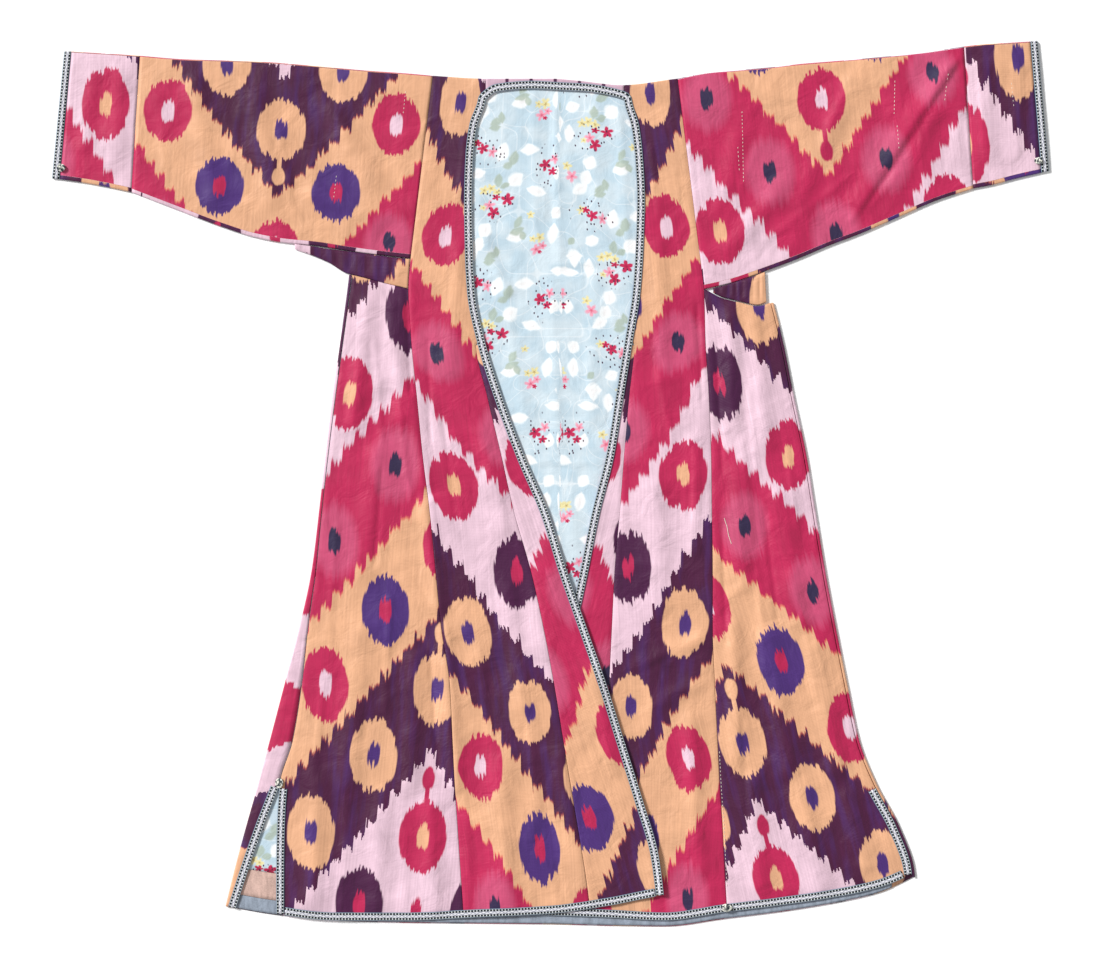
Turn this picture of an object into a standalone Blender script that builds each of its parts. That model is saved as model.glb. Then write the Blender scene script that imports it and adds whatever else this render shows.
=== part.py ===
"""An Uzbek chapan: a lined ikat robe laid flat and open, with bound edges and cuffs.

The robe lies on its back with +Z up and +Y towards the neck.  The back and its lining lie
under the two fronts, and the left front in the picture lies over the right one.  Every cut
piece is a thin wall made from a grid of points that Solidify thickens about its middle.
"""

import math

import bmesh
import bpy
from mathutils import Vector

# Driving sizes.  The tables are in millimetres, as a tailor's chart is.
MM = 0.001
CLOTH = 1.2 * MM
LINING = 1.0 * MM
TAPE = 1.0 * MM
GAP = 0.3 * MM
SEAM = GAP / 2
SIDE_GAP = 0.8 * MM
TAPE_WIDTH = 11 * MM

# Heights of the middle of each layer above the surface that the robe lies on.
BACK_Z = CLOTH / 2
LINING_Z = CLOTH + GAP + LINING / 2
FRONT_Z = CLOTH + 2 * GAP + LINING + CLOTH / 2
TAPE_RISE = CLOTH / 2 + GAP + TAPE / 2
OVERLAP_RISE = 3.0 * MM
CROSSING = -60 * MM

# A fold joins the front layer to the back one by a half circle.
FOLD_RADIUS = (FRONT_Z - BACK_Z) / 2
FOLD_Z = (FRONT_Z + BACK_Z) / 2
FOLD_STEPS = 3
FOLD_TAIL = 4 * MM

# The armholes are straight seams between the body and the sleeves: top and bottom points.
ARMHOLE_LEFT = ((-165, 571), (-196, 316))
ARMHOLE_RIGHT = ((178, 567), (215, 273))

# Upper edge of the laid body, where the cloth is folded at the shoulder: x, y.
SHOULDER = ((-200, 573), (-165, 571), (-91, 567), (0, 567), (40, 564), (100, 558), (178, 567),
            (230, 572))

# Free edge of the neck between the two fronts: x, y.
NECK = ((-91, 538), (-74, 549), (-25, 553), (13, 551), (50, 549), (86, 543), (103, 538))
NECK_CORNER = 538 * MM

# Free edges of the two fronts: height, left front, right front.
FRONT_EDGES = (
    (600, -91, 103),
    (538, -91, 103),
    (500, -103, 113),
    (460, -108, 118),
    (400, -110, 121),
    (330, -109, 119),
    (270, -106, 115),
    (200, -92, 104),
    (120, -67, 91),
    (40, -37, 78),
    (-40, -3, 58),
    (-120, 22, 42),
    (-200, 50, 25),
    (-280, 78, 5),
    (-360, 103, -15),
    (-440, 128, -33),
    (-520, 151, -47),
    (-630, 164, -64),
)

# Seams and folded edges below the arms, by height.  The cloth of the left side of the back
# turns over the left edge and shows on the front as far as turn_left.
SKIRT_COLUMNS = ("height", "side_left", "turn_left", "front_left", "seam_left", "gore_left",
                 "gore_right", "seam_right", "side_right")
SKIRT = (
    (316, -279, -275, -275, -196, -106, 119, 210, 290),
    (273, -284, -280, -280, -199, -105, 119, 215, 306),
    (200, -294, -290, -290, -195, -105, 118, 217, 325),
    (120, -305, -301, -301, -187, -88, 110, 222, 341),
    (40, -315, -311, -311, -179, -69, 103, 225, 358),
    (-40, -324, -320, -320, -169, -51, 97, 226, 371),
    (-120, -334, -328, -328, -161, -28, 90, 227, 384),
    (-200, -351, -339, -339, -153, -10, 86, 227, 399),
    (-280, -372, -348, -348, -141, 5, 82, 230, 415),
    (-360, -393, -361, -361, -137, 18, 77, 234, 432),
    (-420, -409, -379, -379, -134, 28, 73, 237, 456),
    (-480, -426, -402, -383, -130, 38, 69, 241, 488),
    (-540, -442, -423, -384, -126, 48, 65, 244, 509),
    (-630, -464, -452, -384, -120, 60, 58, 249, 516),
)
TURN_RIGHT = 4 * MM

# Lower edges, by distance from the middle: left front, right front, back.
HEM_COLUMNS = ("x", "left", "right", "back")
HEM = (
    (-470, -588, -600, -589),
    (-384, -602, -600, -604),
    (-300, -611, -600, -612),
    (-200, -611, -600, -615),
    (-100, -606, -602, -616),
    (0, -601, -604, -617),
    (80, -590, -607, -619),
    (160, -574, -611, -620),
    (240, -560, -600, -610),
    (320, -560, -590, -600),
    (400, -560, -578, -587),
    (460, -560, -565, -573),
    (520, -560, -540, -545),
)

# Upper edges of the side panels, below the gussets: x, y.
SIDE_TOP_LEFT = ((-300, 296), (-285, 294), (-240, 283), (-199, 273), (-190, 271))
SIDE_TOP_RIGHT = ((205, 277), (215, 273), (241, 260), (265, 254), (290, 249), (320, 259))

# Heights of the rows of points.  Below SLIT the rows run down evenly to the hem.
SIDE_TOP = 273
GORE_TOP = 194
NECK_ROWS = (549, 538)
CHEST_ROWS = (500, 460, 410, 360, 316)
ARM_ROWS = (SIDE_TOP, 240, 206)
SKIRT_ROWS = (GORE_TOP, 150, 100, 50, 0, -50, -100, -150, -200, -250, -300, -350, -390, -426)
SLIT = -426 * MM
HEM_STEPS = 3

# Inside finish of the back hem: a woven tape along the edge, then a facing.
HEM_TAPE = 20 * MM
HEM_FACING = 58 * MM
HEM_FACING_END = 478 * MM
HEM_CELLS = 20

# Sleeves: sections from the armhole to the wrist, each with its top and its bottom point.
SLEEVE_COLUMNS = ("top_x", "top_y", "bottom_x", "bottom_y")
SLEEVE_LEFT = (
    (-165, 571, -196, 316),
    (-210, 575, -240, 321),
    (-255, 578, -285, 327),
    (-300, 582, -330, 334),
    (-345, 586, -372, 338),
    (-395, 590, -415, 346),
    (-445, 592, -462, 361),
    (-510, 594, -525, 385),
    (-575, 599, -587, 409),
)
WRIST_LEFT = (
    (-575, 599, -587, 409),
    (-605, 601, -615, 415),
    (-640, 603, -652, 422),
    (-671, 605, -687, 427),
)
CUFF_LEFT = (
    (-671, 605, -687, 427),
    (-681, 605, -698, 428),
)
SLEEVE_RIGHT = (
    (178, 567, 215, 273),
    (220, 575, 250, 281),
    (265, 579, 300, 298),
    (310, 583, 345, 315),
    (355, 588, 390, 334),
    (405, 592, 432, 350),
    (460, 597, 485, 373),
    (520, 603, 540, 397),
    (579, 612, 592, 414),
)
WRIST_RIGHT = (
    (579, 612, 592, 414),
    (605, 615, 618, 419),
    (640, 617, 652, 428),
    (672, 619, 687, 436),
)
CUFF_RIGHT = (
    (672, 619, 687, 436),
    (682, 620, 698, 438),
)
SLEEVE_TOP_CELLS = 9
SLEEVE_UNDER_CELLS = 2

# Underarm gussets: sections between the upper edge and the folded lower edge.
GUSSET_LEFT = (
    (-358, 337, -358, 328),
    (-335, 334, -335, 320),
    (-310, 330, -310, 309),
    (-285, 327, -287, 295),
    (-262, 324, -264, 289),
    (-240, 321, -243, 283),
    (-219, 318, -222, 278),
    (-197, 316, -200, 273),
)
GUSSET_RIGHT = (
    (228, 275, 228, 267),
    (241, 278, 241, 261),
    (253, 282, 253, 258),
    (265, 286, 265, 255),
    (278, 290, 278, 252),
    (290, 294, 290, 250),
    (300, 298, 302, 254),
)

# Soft folds raised in the front layer: start x, start y, end x, end y, half width, height.
FOLDS = (
    (-258, 250, -276, 90, 15, 3.2),
    (-222, 245, -207, 95, 12, 2.6),
    (-196, 120, -176, 0, 11, 2.4),
    (-243, 40, -262, -120, 17, 2.6),
    (-176, -30, -158, -170, 12, 3.4),
    (-146, -210, -133, -420, 13, 3.4),
    (-190, -250, -196, -420, 15, 2.6),
    (-262, -210, -286, -420, 18, 3.0),
    (-235, -440, -243, -585, 15, 2.8),
    (-168, -455, -163, -590, 13, 3.2),
    (-325, -420, -334, -585, 14, 2.6),
    (-128, 330, -142, 160, 13, 2.2),
    (-98, 70, -66, -60, 12, 2.4),
    (-60, -150, -38, -310, 15, 2.8),
    (-70, -400, -58, -580, 16, 3.0),
    (15, -380, 42, -560, 14, 2.6),
    (62, -260, 88, -400, 11, 2.2),
    (150, 330, 158, 150, 13, 2.2),
    (200, 60, 202, -90, 12, 2.6),
    (150, -10, 158, -170, 15, 2.4),
    (110, -262, 205, -218, 12, 2.4),
    (120, -330, 200, -280, 12, 2.2),
    (196, -330, 206, -540, 13, 3.2),
    (150, -420, 160, -590, 15, 2.8),
    (252, 235, 256, 80, 12, 3.0),
    (284, 225, 301, 60, 13, 2.8),
    (262, 20, 270, -140, 15, 2.8),
    (322, -20, 345, -190, 17, 3.2),
    (255, -200, 262, -380, 13, 3.2),
    (308, -220, 334, -400, 17, 3.4),
    (372, -230, 398, -400, 16, 3.2),
    (284, -420, 292, -560, 15, 3.0),
    (352, -430, 376, -555, 16, 3.2),
    (418, -440, 440, -530, 14, 2.8),
    (-240, 372, -330, 405, 15, 2.8),
    (-250, 430, -305, 520, 15, 2.6),
    (-390, 400, -410, 540, 16, 2.6),
    (-470, 400, -500, 560, 14, 2.2),
    (-612, 450, -600, 570, 13, 2.0),
    (-655, 470, -640, 570, 10, 1.6),
    (250, 330, 330, 420, 15, 3.0),
    (262, 480, 240, 390, 14, 2.6),
    (428, 396, 556, 585, 13, 3.0),
    (350, 400, 425, 560, 14, 2.6),
    (485, 420, 540, 520, 12, 2.2),
    (610, 460, 604, 580, 12, 2.0),
    (650, 460, 655, 580, 10, 1.6),
)
UNDERARM = 300 * MM
EDGE_FADE = 32 * MM
SHOULDER_FADE = 50 * MM

# Thread knots that finish the tape: x, y, length, width, height, and the layer they sit on.
KNOTS = {
    "knot_cuff_left": (-684, 442, 14, 11, 5, "cloth"),
    "knot_cuff_right": (683, 452, 13, 10, 5, "cloth"),
    "knot_hem": (247, -593, 18, 12, 6, "tape"),
    "knot_slit": (-378, -415, 9, 9, 4, "cloth"),
}

# Base colour and roughness of each cloth.
COLOURS = {
    "ikat": ((0.52, 0.05, 0.11), 0.62),
    "ikat_back": ((0.42, 0.05, 0.12), 0.66),
    "ikat_gore": ((0.46, 0.10, 0.14), 0.62),
    "gusset": ((0.70, 0.42, 0.20), 0.66),
    "neck": ((0.76, 0.55, 0.68), 0.66),
    "lining": ((0.56, 0.73, 0.80), 0.82),
    "facing": ((0.66, 0.40, 0.32), 0.84),
    "hem_tape": ((0.35, 0.41, 0.50), 0.84),
    "tape": ((0.60, 0.60, 0.66), 0.80),
    "thread": ((0.80, 0.78, 0.70), 0.90),
}


def smooth_curve(points):
    """A curve through (key, value) points that never overshoots them, in metres."""
    rows = sorted((key * MM, value * MM) for key, value in points)
    keys = [row[0] for row in rows]
    values = [row[1] for row in rows]
    rates = [(values[i + 1] - values[i]) / (keys[i + 1] - keys[i]) for i in range(len(rows) - 1)]
    slopes = [rates[0]]
    for before, after in zip(rates, rates[1:]):
        slopes.append(2 * before * after / (before + after) if before * after > 0 else 0.0)
    slopes.append(rates[-1])

    def value_at(key):
        key = min(max(key, keys[0]), keys[-1])
        i = 0
        while i < len(keys) - 2 and key > keys[i + 1]:
            i += 1
        step = keys[i + 1] - keys[i]
        t = (key - keys[i]) / step
        return (values[i] * (1 + 2 * t) * (1 - t) ** 2 + slopes[i] * step * t * (1 - t) ** 2
                + values[i + 1] * t * t * (3 - 2 * t) + slopes[i + 1] * step * t * t * (t - 1))

    return value_at


def column_curve(table, columns, name):
    """The curve of one named column of a table against its first column."""
    index = columns.index(name)
    return smooth_curve([(row[0], row[index]) for row in table])


def smoothstep(low, high, value):
    t = min(max((value - low) / (high - low), 0.0), 1.0)
    return t * t * (3 - 2 * t)


def mix(a, b, t):
    return a + (b - a) * t


def steps(count):
    return [i / count for i in range(count + 1)]


shoulder = smooth_curve(SHOULDER)
neck = smooth_curve(NECK)
edge_left = smooth_curve([(row[0], row[1]) for row in FRONT_EDGES])
edge_right = smooth_curve([(row[0], row[2]) for row in FRONT_EDGES])
side_top_left = smooth_curve(SIDE_TOP_LEFT)
side_top_right = smooth_curve(SIDE_TOP_RIGHT)
skirt = {name: column_curve(SKIRT, SKIRT_COLUMNS, name) for name in SKIRT_COLUMNS[1:]}
hem = {name: column_curve(HEM, HEM_COLUMNS, name) for name in HEM_COLUMNS[1:]}


def armhole(points, y):
    (top_x, top_y), (bottom_x, bottom_y) = points
    return mix(top_x, bottom_x, (top_y - y / MM) / (top_y - bottom_y)) * MM


def seam_left(y):
    """Seam between the middle of the body and its left sleeve or side panel."""
    return armhole(ARMHOLE_LEFT, y) if y > ARMHOLE_LEFT[1][1] * MM else skirt["seam_left"](y)


def seam_right(y):
    return armhole(ARMHOLE_RIGHT, y) if y > ARMHOLE_RIGHT[1][1] * MM else skirt["seam_right"](y)


def fold_lift(x, y):
    """Height of the soft folds over the flat front layer."""
    lift = 0.0
    for x0, y0, x1, y1, width, height in FOLDS:
        start = Vector((x0, y0)) * MM
        run = Vector((x1, y1)) * MM - start
        here = Vector((x, y)) - start
        t = min(max(here.dot(run) / run.length_squared, 0.0), 1.0)
        distance = (here - run * t).length
        lift += height * MM * math.exp(-(distance / (width * MM)) ** 2)
    return lift


def body_lift(x, y):
    """Folds of the body, which die out at its folded edges."""
    fade = smoothstep(0, SHOULDER_FADE, shoulder(x) - y)
    if y < UNDERARM:
        fade *= smoothstep(0, EDGE_FADE, x - skirt["front_left"](y))
        fade *= smoothstep(0, EDGE_FADE, skirt["side_right"](y) - TURN_RIGHT - x)
    return fold_lift(x, y) * fade


def left_z(x, y):
    """Middle of the left front, which climbs over the right one below the crossing."""
    over = smoothstep(-85 * MM, -35 * MM, x - edge_right(y))
    over *= smoothstep(CROSSING, CROSSING - 70 * MM, y)
    return FRONT_Z + body_lift(x, y) + OVERLAP_RISE * over


def right_z(x, y):
    """Middle of the right front, which lies flat where the left one covers it."""
    clear = smoothstep(25 * MM, 65 * MM, x - edge_left(y)) if y < CROSSING else 1.0
    return FRONT_Z + body_lift(x, y) * clear


def back_z(x, y):
    return BACK_Z


def lining_z(x, y):
    return LINING_Z


def row_height(row, top, lower, x):
    """Height at x of a panel's row, which is level or follows the panel's top or hem."""
    if row == "top":
        return top(x)
    if row == "hem":
        return lower(x)
    if isinstance(row, tuple):
        kind, share = row
        if kind == "below top":
            return mix(ARM_ROWS[-1] * MM, top(x), share)
        return mix(SLIT, lower(x) + TAPE_WIDTH, share)
    return row * MM


HEM_ROWS = [("above hem", share) for share in steps(HEM_STEPS)[1:]] + ["hem"]
SIDE_ROWS = [
    "top",
    ("below top", (ARM_ROWS[1] - ARM_ROWS[2]) / (ARM_ROWS[0] - ARM_ROWS[2])),
    ARM_ROWS[2],
]


def panel_points(rows, columns, top, lower, height):
    """Grid of middle points between two edge curves; columns are (curve, curve, share)."""
    grid = []
    for row in rows:
        points = []
        for line_a, line_b, share in columns:
            x = mix(line_a(0.0), line_b(0.0), share)
            for _ in range(6):
                y = row_height(row, top, lower, x)
                x = mix(line_a(y), line_b(y), share)
            points.append(Vector((x, y, height(x, y))))
        grid.append(points)
    return grid


def shifted(line, distance):
    return lambda y: line(y) + distance


def columns_between(line_a, line_b, cells, taped_a=False, taped_b=False):
    """Even columns between two lines, with a column one tape width in from a taped edge."""
    inner_a = shifted(line_a, TAPE_WIDTH) if taped_a else line_a
    inner_b = shifted(line_b, -TAPE_WIDTH) if taped_b else line_b
    columns = [(line_a, line_a, 0.0)] if taped_a else []
    columns += [(inner_a, inner_b, share) for share in steps(cells)]
    if taped_b:
        columns.append((line_b, line_b, 0.0))
    return columns


def material_for(name):
    colour, roughness = COLOURS[name]
    material = bpy.data.materials.get("cloth_" + name)
    if material is None:
        material = bpy.data.materials.new("cloth_" + name)
        material.use_nodes = True
        shader = material.node_tree.nodes["Principled BSDF"]
        shader.inputs["Base Color"].default_value = (*colour, 1.0)
        shader.inputs["Roughness"].default_value = roughness
        shader.inputs["Metallic"].default_value = 0.0
    return material


def add_object(name, mesh, cloth):
    mesh.materials.append(material_for(cloth))
    piece = bpy.data.objects.new(name, mesh)
    robe.objects.link(piece)
    return piece


def add_wall(name, grid, wall, cloth, ring=False):
    """A cloth wall about a grid of middle points; a ring closes each row on itself.

    Each cell is split along its higher diagonal, so a tape made from the same points as the
    panel below it stays parallel to that panel.
    """
    mesh = bpy.data.meshes.new(name)
    bm = bmesh.new()
    verts = [[bm.verts.new(point) for point in row] for row in grid]
    width = len(grid[0])
    for upper, lower in zip(verts, verts[1:]):
        for j in range(width if ring else width - 1):
            k = (j + 1) % width
            a, b, c, d = upper[j], lower[j], lower[k], upper[k]
            if a.co.z + c.co.z < b.co.z + d.co.z:
                a, b, c, d = b, c, d, a
            bm.faces.new((a, b, c))
            bm.faces.new((a, c, d))
    bm.to_mesh(mesh)
    bm.free()
    piece = add_object(name, mesh, cloth)
    solidify = piece.modifiers.new("wall", "SOLIDIFY")
    solidify.thickness = wall
    solidify.offset = 0.0
    solidify.use_even_offset = True
    return piece


def add_tape(name, pairs):
    """A flat tape sewn over a panel, from pairs of the panel's own points moved out."""
    lifted = [[point + Vector((0, 0, TAPE_RISE)) for point in pair] for pair in pairs]
    return add_wall(name, lifted, TAPE, "tape")


def fold_over_shoulder(grid):
    """The rows that carry a front panel over the shoulder fold and under its back edge."""
    first = grid[0]
    rows = [[Vector((p.x, p.y - FOLD_TAIL, BACK_Z)) for p in first]]
    for i in range(FOLD_STEPS + 1):
        angle = math.pi * (1 - i / (FOLD_STEPS + 1))
        rows.append([Vector((p.x, p.y + FOLD_RADIUS * math.sin(angle),
                             FOLD_Z + FOLD_RADIUS * math.cos(angle))) for p in first])
    return rows + grid


def turned_edge(grid, direction, turn):
    """Carries a back panel round its side edge and back over the front by turn(y)."""
    rows = []
    for row in grid:
        edge = row[-1]
        points = list(row)
        for i in range(1, FOLD_STEPS + 2):
            angle = math.pi * i / (FOLD_STEPS + 1)
            points.append(Vector((edge.x + direction * FOLD_RADIUS * math.sin(angle), edge.y,
                                  FOLD_Z - FOLD_RADIUS * math.cos(angle))))
        points.append(Vector((turn(edge.y), edge.y, FRONT_Z)))
        rows.append(points)
    return rows


def below_shoulder(x):
    return shoulder(x) - FOLD_RADIUS


def build_back():
    """Back of the robe: one loom width down the middle and a flared panel at each side."""
    body_rows = ["top", *CHEST_ROWS, *ARM_ROWS, *SKIRT_ROWS, *HEM_ROWS]
    side_rows = [*SIDE_ROWS, *SKIRT_ROWS, *HEM_ROWS]
    inner_left = shifted(seam_left, SEAM)
    inner_right = shifted(seam_right, -SEAM)
    middle = panel_points(
        body_rows, columns_between(inner_left, inner_right, 6),
        lambda x: below_shoulder(x) - FOLD_TAIL - 2 * MM, hem["back"], back_z)
    add_wall("back_center", middle, CLOTH, "ikat_back")

    side_left = panel_points(
        side_rows,
        columns_between(shifted(seam_left, -SEAM), shifted(skirt["side_left"], FOLD_RADIUS), 4),
        lambda x: side_top_left(x) - SIDE_GAP, hem["back"], back_z)

    def turn_left(y):
        return min(skirt["turn_left"](y), skirt["front_left"](y) - SIDE_GAP)

    add_wall("back_side_left", turned_edge(side_left, -1, turn_left), CLOTH, "ikat_back")

    side_right = panel_points(
        side_rows,
        columns_between(shifted(seam_right, SEAM), shifted(skirt["side_right"], -FOLD_RADIUS), 6),
        lambda x: side_top_right(x) - 2 * SIDE_GAP, hem["back"], back_z)
    turn_right = shifted(skirt["side_right"], SIDE_GAP - TURN_RIGHT)
    add_wall("back_side_right", turned_edge(side_right, 1, turn_right), CLOTH, "ikat_back")

    turned = [row for row in side_left if row[0].y <= SLIT + SEAM]
    pairs = []
    for row in turned:
        y = row[-1].y
        edge = turn_left(y)
        outer = max(edge - TAPE_WIDTH, skirt["side_left"](y) + FOLD_RADIUS + SEAM)
        pairs.append((Vector((outer, y, FRONT_Z)), Vector((edge, y, FRONT_Z))))
    add_tape("band_slit_back", pairs)


def build_lining():
    """Printed lining of the back, with the facing and tape that finish its hem inside."""
    body_rows = ["top", *CHEST_ROWS, *ARM_ROWS, *SKIRT_ROWS, *HEM_ROWS[:-1]]
    side_rows = [*SIDE_ROWS, *SKIRT_ROWS, *HEM_ROWS[:-1]]

    def above_facing(x):
        return hem["back"](x) + HEM_FACING + 2 * MM - TAPE_WIDTH

    middle = panel_points(
        body_rows, columns_between(shifted(seam_left, SEAM), shifted(seam_right, -SEAM), 4),
        lambda x: shoulder(x) - 3 * MM, above_facing, lining_z)
    add_wall("lining_center", middle, LINING, "lining")
    side = panel_points(
        side_rows,
        columns_between(shifted(skirt["side_left"], 3 * MM), shifted(seam_left, -SEAM), 4),
        lambda x: side_top_left(x) - 3 * SIDE_GAP, above_facing, lining_z)
    add_wall("lining_side_left", side, LINING, "lining")

    strips = (("hem_facing_back", "facing", HEM_TAPE + GAP, HEM_FACING),
              ("hem_tape_back", "hem_tape", 1 * MM, HEM_TAPE))
    for name, cloth, low, high in strips:
        grid = []
        for above in (high, low):
            left = HEM[0][0] * MM
            for _ in range(6):
                left = skirt["side_left"](hem["back"](left) + above) + 4 * MM
            stations = [mix(left, HEM_FACING_END, share) for share in steps(HEM_CELLS)]
            grid.append([Vector((x, hem["back"](x) + above, LINING_Z)) for x in stations])
        add_wall(name, grid, LINING, cloth)


def build_fronts():
    """The two fronts: middle, overlap gore and flared side, with the tape on their edges."""
    body_rows = ["top", *NECK_ROWS, *CHEST_ROWS, *ARM_ROWS, *SKIRT_ROWS, *HEM_ROWS]
    side_rows = [*SIDE_ROWS, *SKIRT_ROWS, *HEM_ROWS]
    gore_rows = [*SKIRT_ROWS, *HEM_ROWS]

    def inner_left(y):
        share = smoothstep(GORE_TOP * MM, ARM_ROWS[-1] * MM, y)
        return mix(skirt["gore_left"](y) - SEAM, edge_left(y), share)

    def inner_right(y):
        share = smoothstep(GORE_TOP * MM, ARM_ROWS[-1] * MM, y)
        return mix(skirt["gore_right"](y) + SEAM, edge_right(y), share)

    left_middle = panel_points(
        body_rows, columns_between(shifted(seam_left, SEAM), inner_left, 6, taped_b=True),
        below_shoulder, hem["left"], left_z)
    left_gore = panel_points(
        gore_rows,
        columns_between(shifted(skirt["gore_left"], SEAM), edge_left, 3, taped_b=True),
        below_shoulder, hem["left"], left_z)
    left_side = panel_points(
        side_rows,
        columns_between(shifted(skirt["front_left"], SEAM), shifted(seam_left, -SEAM), 7,
                        taped_a=True),
        lambda x: side_top_left(x) - GAP, hem["left"], left_z)
    right_middle = panel_points(
        body_rows, columns_between(inner_right, shifted(seam_right, -SEAM), 6, taped_a=True),
        below_shoulder, hem["right"], right_z)
    right_gore = panel_points(
        gore_rows,
        columns_between(edge_right, shifted(skirt["gore_right"], -SEAM), 3, taped_a=True),
        below_shoulder, hem["right"], right_z)
    right_side = panel_points(
        side_rows,
        columns_between(shifted(seam_right, SEAM),
                        shifted(skirt["side_right"], -TURN_RIGHT - SEAM), 7, taped_b=True),
        lambda x: side_top_right(x) - GAP, hem["right"], right_z)

    add_wall("front_left_center", fold_over_shoulder(left_middle), CLOTH, "ikat")
    add_wall("front_left_gore", left_gore, CLOTH, "ikat_gore")
    add_wall("front_left_side", left_side, CLOTH, "ikat")
    add_wall("front_right_center", fold_over_shoulder(right_middle), CLOTH, "ikat")
    add_wall("front_right_gore", right_gore, CLOTH, "ikat_gore")
    add_wall("front_right_side", right_side, CLOTH, "ikat")

    neck_points = build_neck_strip()
    build_front_tape(left_middle, left_gore, right_middle, right_gore, neck_points)
    build_hem_tapes(left_middle, left_gore, left_side, right_middle, right_gore, right_side)
    build_slit_tapes(left_side, right_side)


def build_neck_strip():
    """Narrow strip that finishes the back of the neck, folded over like the shoulders."""
    start = edge_left(NECK_CORNER) + GAP
    end = edge_right(NECK_CORNER) - GAP
    stations = [mix(start, end, share) for share in steps(12)]
    grid = [
        [Vector((x, below_shoulder(x), FRONT_Z)) for x in stations],
        [Vector((x, neck(x) + TAPE_WIDTH, FRONT_Z)) for x in stations],
        [Vector((x, neck(x), FRONT_Z)) for x in stations],
    ]
    add_wall("neck_strip", fold_over_shoulder(grid), CLOTH, "neck")
    return list(zip(grid[1], grid[2]))


def build_front_tape(left_middle, left_gore, right_middle, right_gore, neck_points):
    """One length of woven tape down the left front, round the neck and down the right."""
    below_neck = 1 + len(NECK_ROWS)
    above_gore = below_neck + len(CHEST_ROWS) + len(ARM_ROWS)
    left = [(row[-2], row[-1]) for row in left_middle[below_neck:above_gore]]
    left += [(row[-2], row[-1]) for row in left_gore]
    right = [(row[1], row[0]) for row in right_middle[below_neck:above_gore]]
    right += [(row[1], row[0]) for row in right_gore]
    left_corner = (Vector((edge_left(NECK_CORNER) - TAPE_WIDTH, NECK_CORNER + TAPE_WIDTH, FRONT_Z)),
                   Vector((edge_left(NECK_CORNER), NECK_CORNER, FRONT_Z)))
    right_corner = (Vector((edge_right(NECK_CORNER) + TAPE_WIDTH, NECK_CORNER + TAPE_WIDTH,
                            FRONT_Z)),
                    Vector((edge_right(NECK_CORNER), NECK_CORNER, FRONT_Z)))
    pairs = left[::-1] + [left_corner] + neck_points[1:-1] + [right_corner] + right
    add_tape("band_front", pairs)


def build_hem_tapes(left_middle, left_gore, left_side, right_middle, right_gore, right_side):
    """Tape along the lower edge of each front, between the tapes on its other edges."""
    def strip(pieces):
        above = []
        below = []
        for grid in pieces:
            end = len(grid[-1]) - (1 if grid is pieces[-1] else 0)
            above += grid[-2][1:end]
            below += grid[-1][1:end]
        pairs = list(zip(above, below))
        start = tuple(point.lerp(after, 0.03) for point, after in zip(pairs[0], pairs[1]))
        end = tuple(point.lerp(before, 0.03) for point, before in zip(pairs[-1], pairs[-2]))
        return [start] + pairs[1:-1] + [end]

    add_tape("band_hem_left", strip((left_side, left_middle, left_gore)))
    add_tape("band_hem_right", strip((right_gore, right_middle, right_side)))


def build_slit_tapes(left_side, right_side):
    """Tape along the front edge of each side slit, from its top down to the hem."""
    left = [(row[0], row[1]) for row in left_side if row[0].y <= SLIT + SEAM]
    right = [(row[-2], row[-1]) for row in right_side if row[-1].y <= SLIT + SEAM]
    add_tape("band_slit_front_left", left)
    add_tape("band_slit_front_right", right)


def sleeve_ring(top, bottom, lift):
    """One section of a sleeve laid flat: a long closed loop with a half circle at each edge."""
    run = bottom - top
    length = run.length
    along = run / length
    near = FOLD_RADIUS
    far = length - FOLD_RADIUS

    def point(distance, z):
        place = top + along * distance
        return Vector((place.x, place.y, z))

    ring = []
    for share in steps(SLEEVE_TOP_CELLS):
        distance = mix(near, far, share)
        place = point(distance, 0)
        fade = smoothstep(0, EDGE_FADE, distance) * smoothstep(0, EDGE_FADE, length - distance)
        ring.append(point(distance, FRONT_Z + lift(place.x, place.y) * fade))
    for i in range(1, FOLD_STEPS + 1):
        angle = math.pi * i / (FOLD_STEPS + 1)
        ring.append(point(far + FOLD_RADIUS * math.sin(angle),
                          FOLD_Z + FOLD_RADIUS * math.cos(angle)))
    for share in steps(SLEEVE_UNDER_CELLS):
        ring.append(point(mix(far, near, share), BACK_Z))
    for i in range(1, FOLD_STEPS + 1):
        angle = math.pi * i / (FOLD_STEPS + 1)
        ring.append(point(near - FOLD_RADIUS * math.sin(angle),
                          FOLD_Z - FOLD_RADIUS * math.cos(angle)))
    return ring


def build_sleeve(name, sections, divisions, cloth, direction, lift=fold_lift):
    """A sleeve length as a flattened tube through its table of sections."""
    curves = [smooth_curve([(number, row[i]) for number, row in enumerate(sections)])
              for i in range(len(SLEEVE_COLUMNS))]
    rings = []
    count = (len(sections) - 1) * divisions
    for step in range(count + 1):
        key = step / divisions * MM
        top_x, top_y, bottom_x, bottom_y = (curve(key) for curve in curves)
        shift = direction * SEAM * (1 if step == 0 else -1 if step == count else 0)
        top = Vector((top_x + shift, top_y))
        bottom = Vector((bottom_x + shift, bottom_y))
        rings.append(sleeve_ring(top, bottom, lift))
    return add_wall(name, rings, CLOTH, cloth, ring=True)


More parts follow.
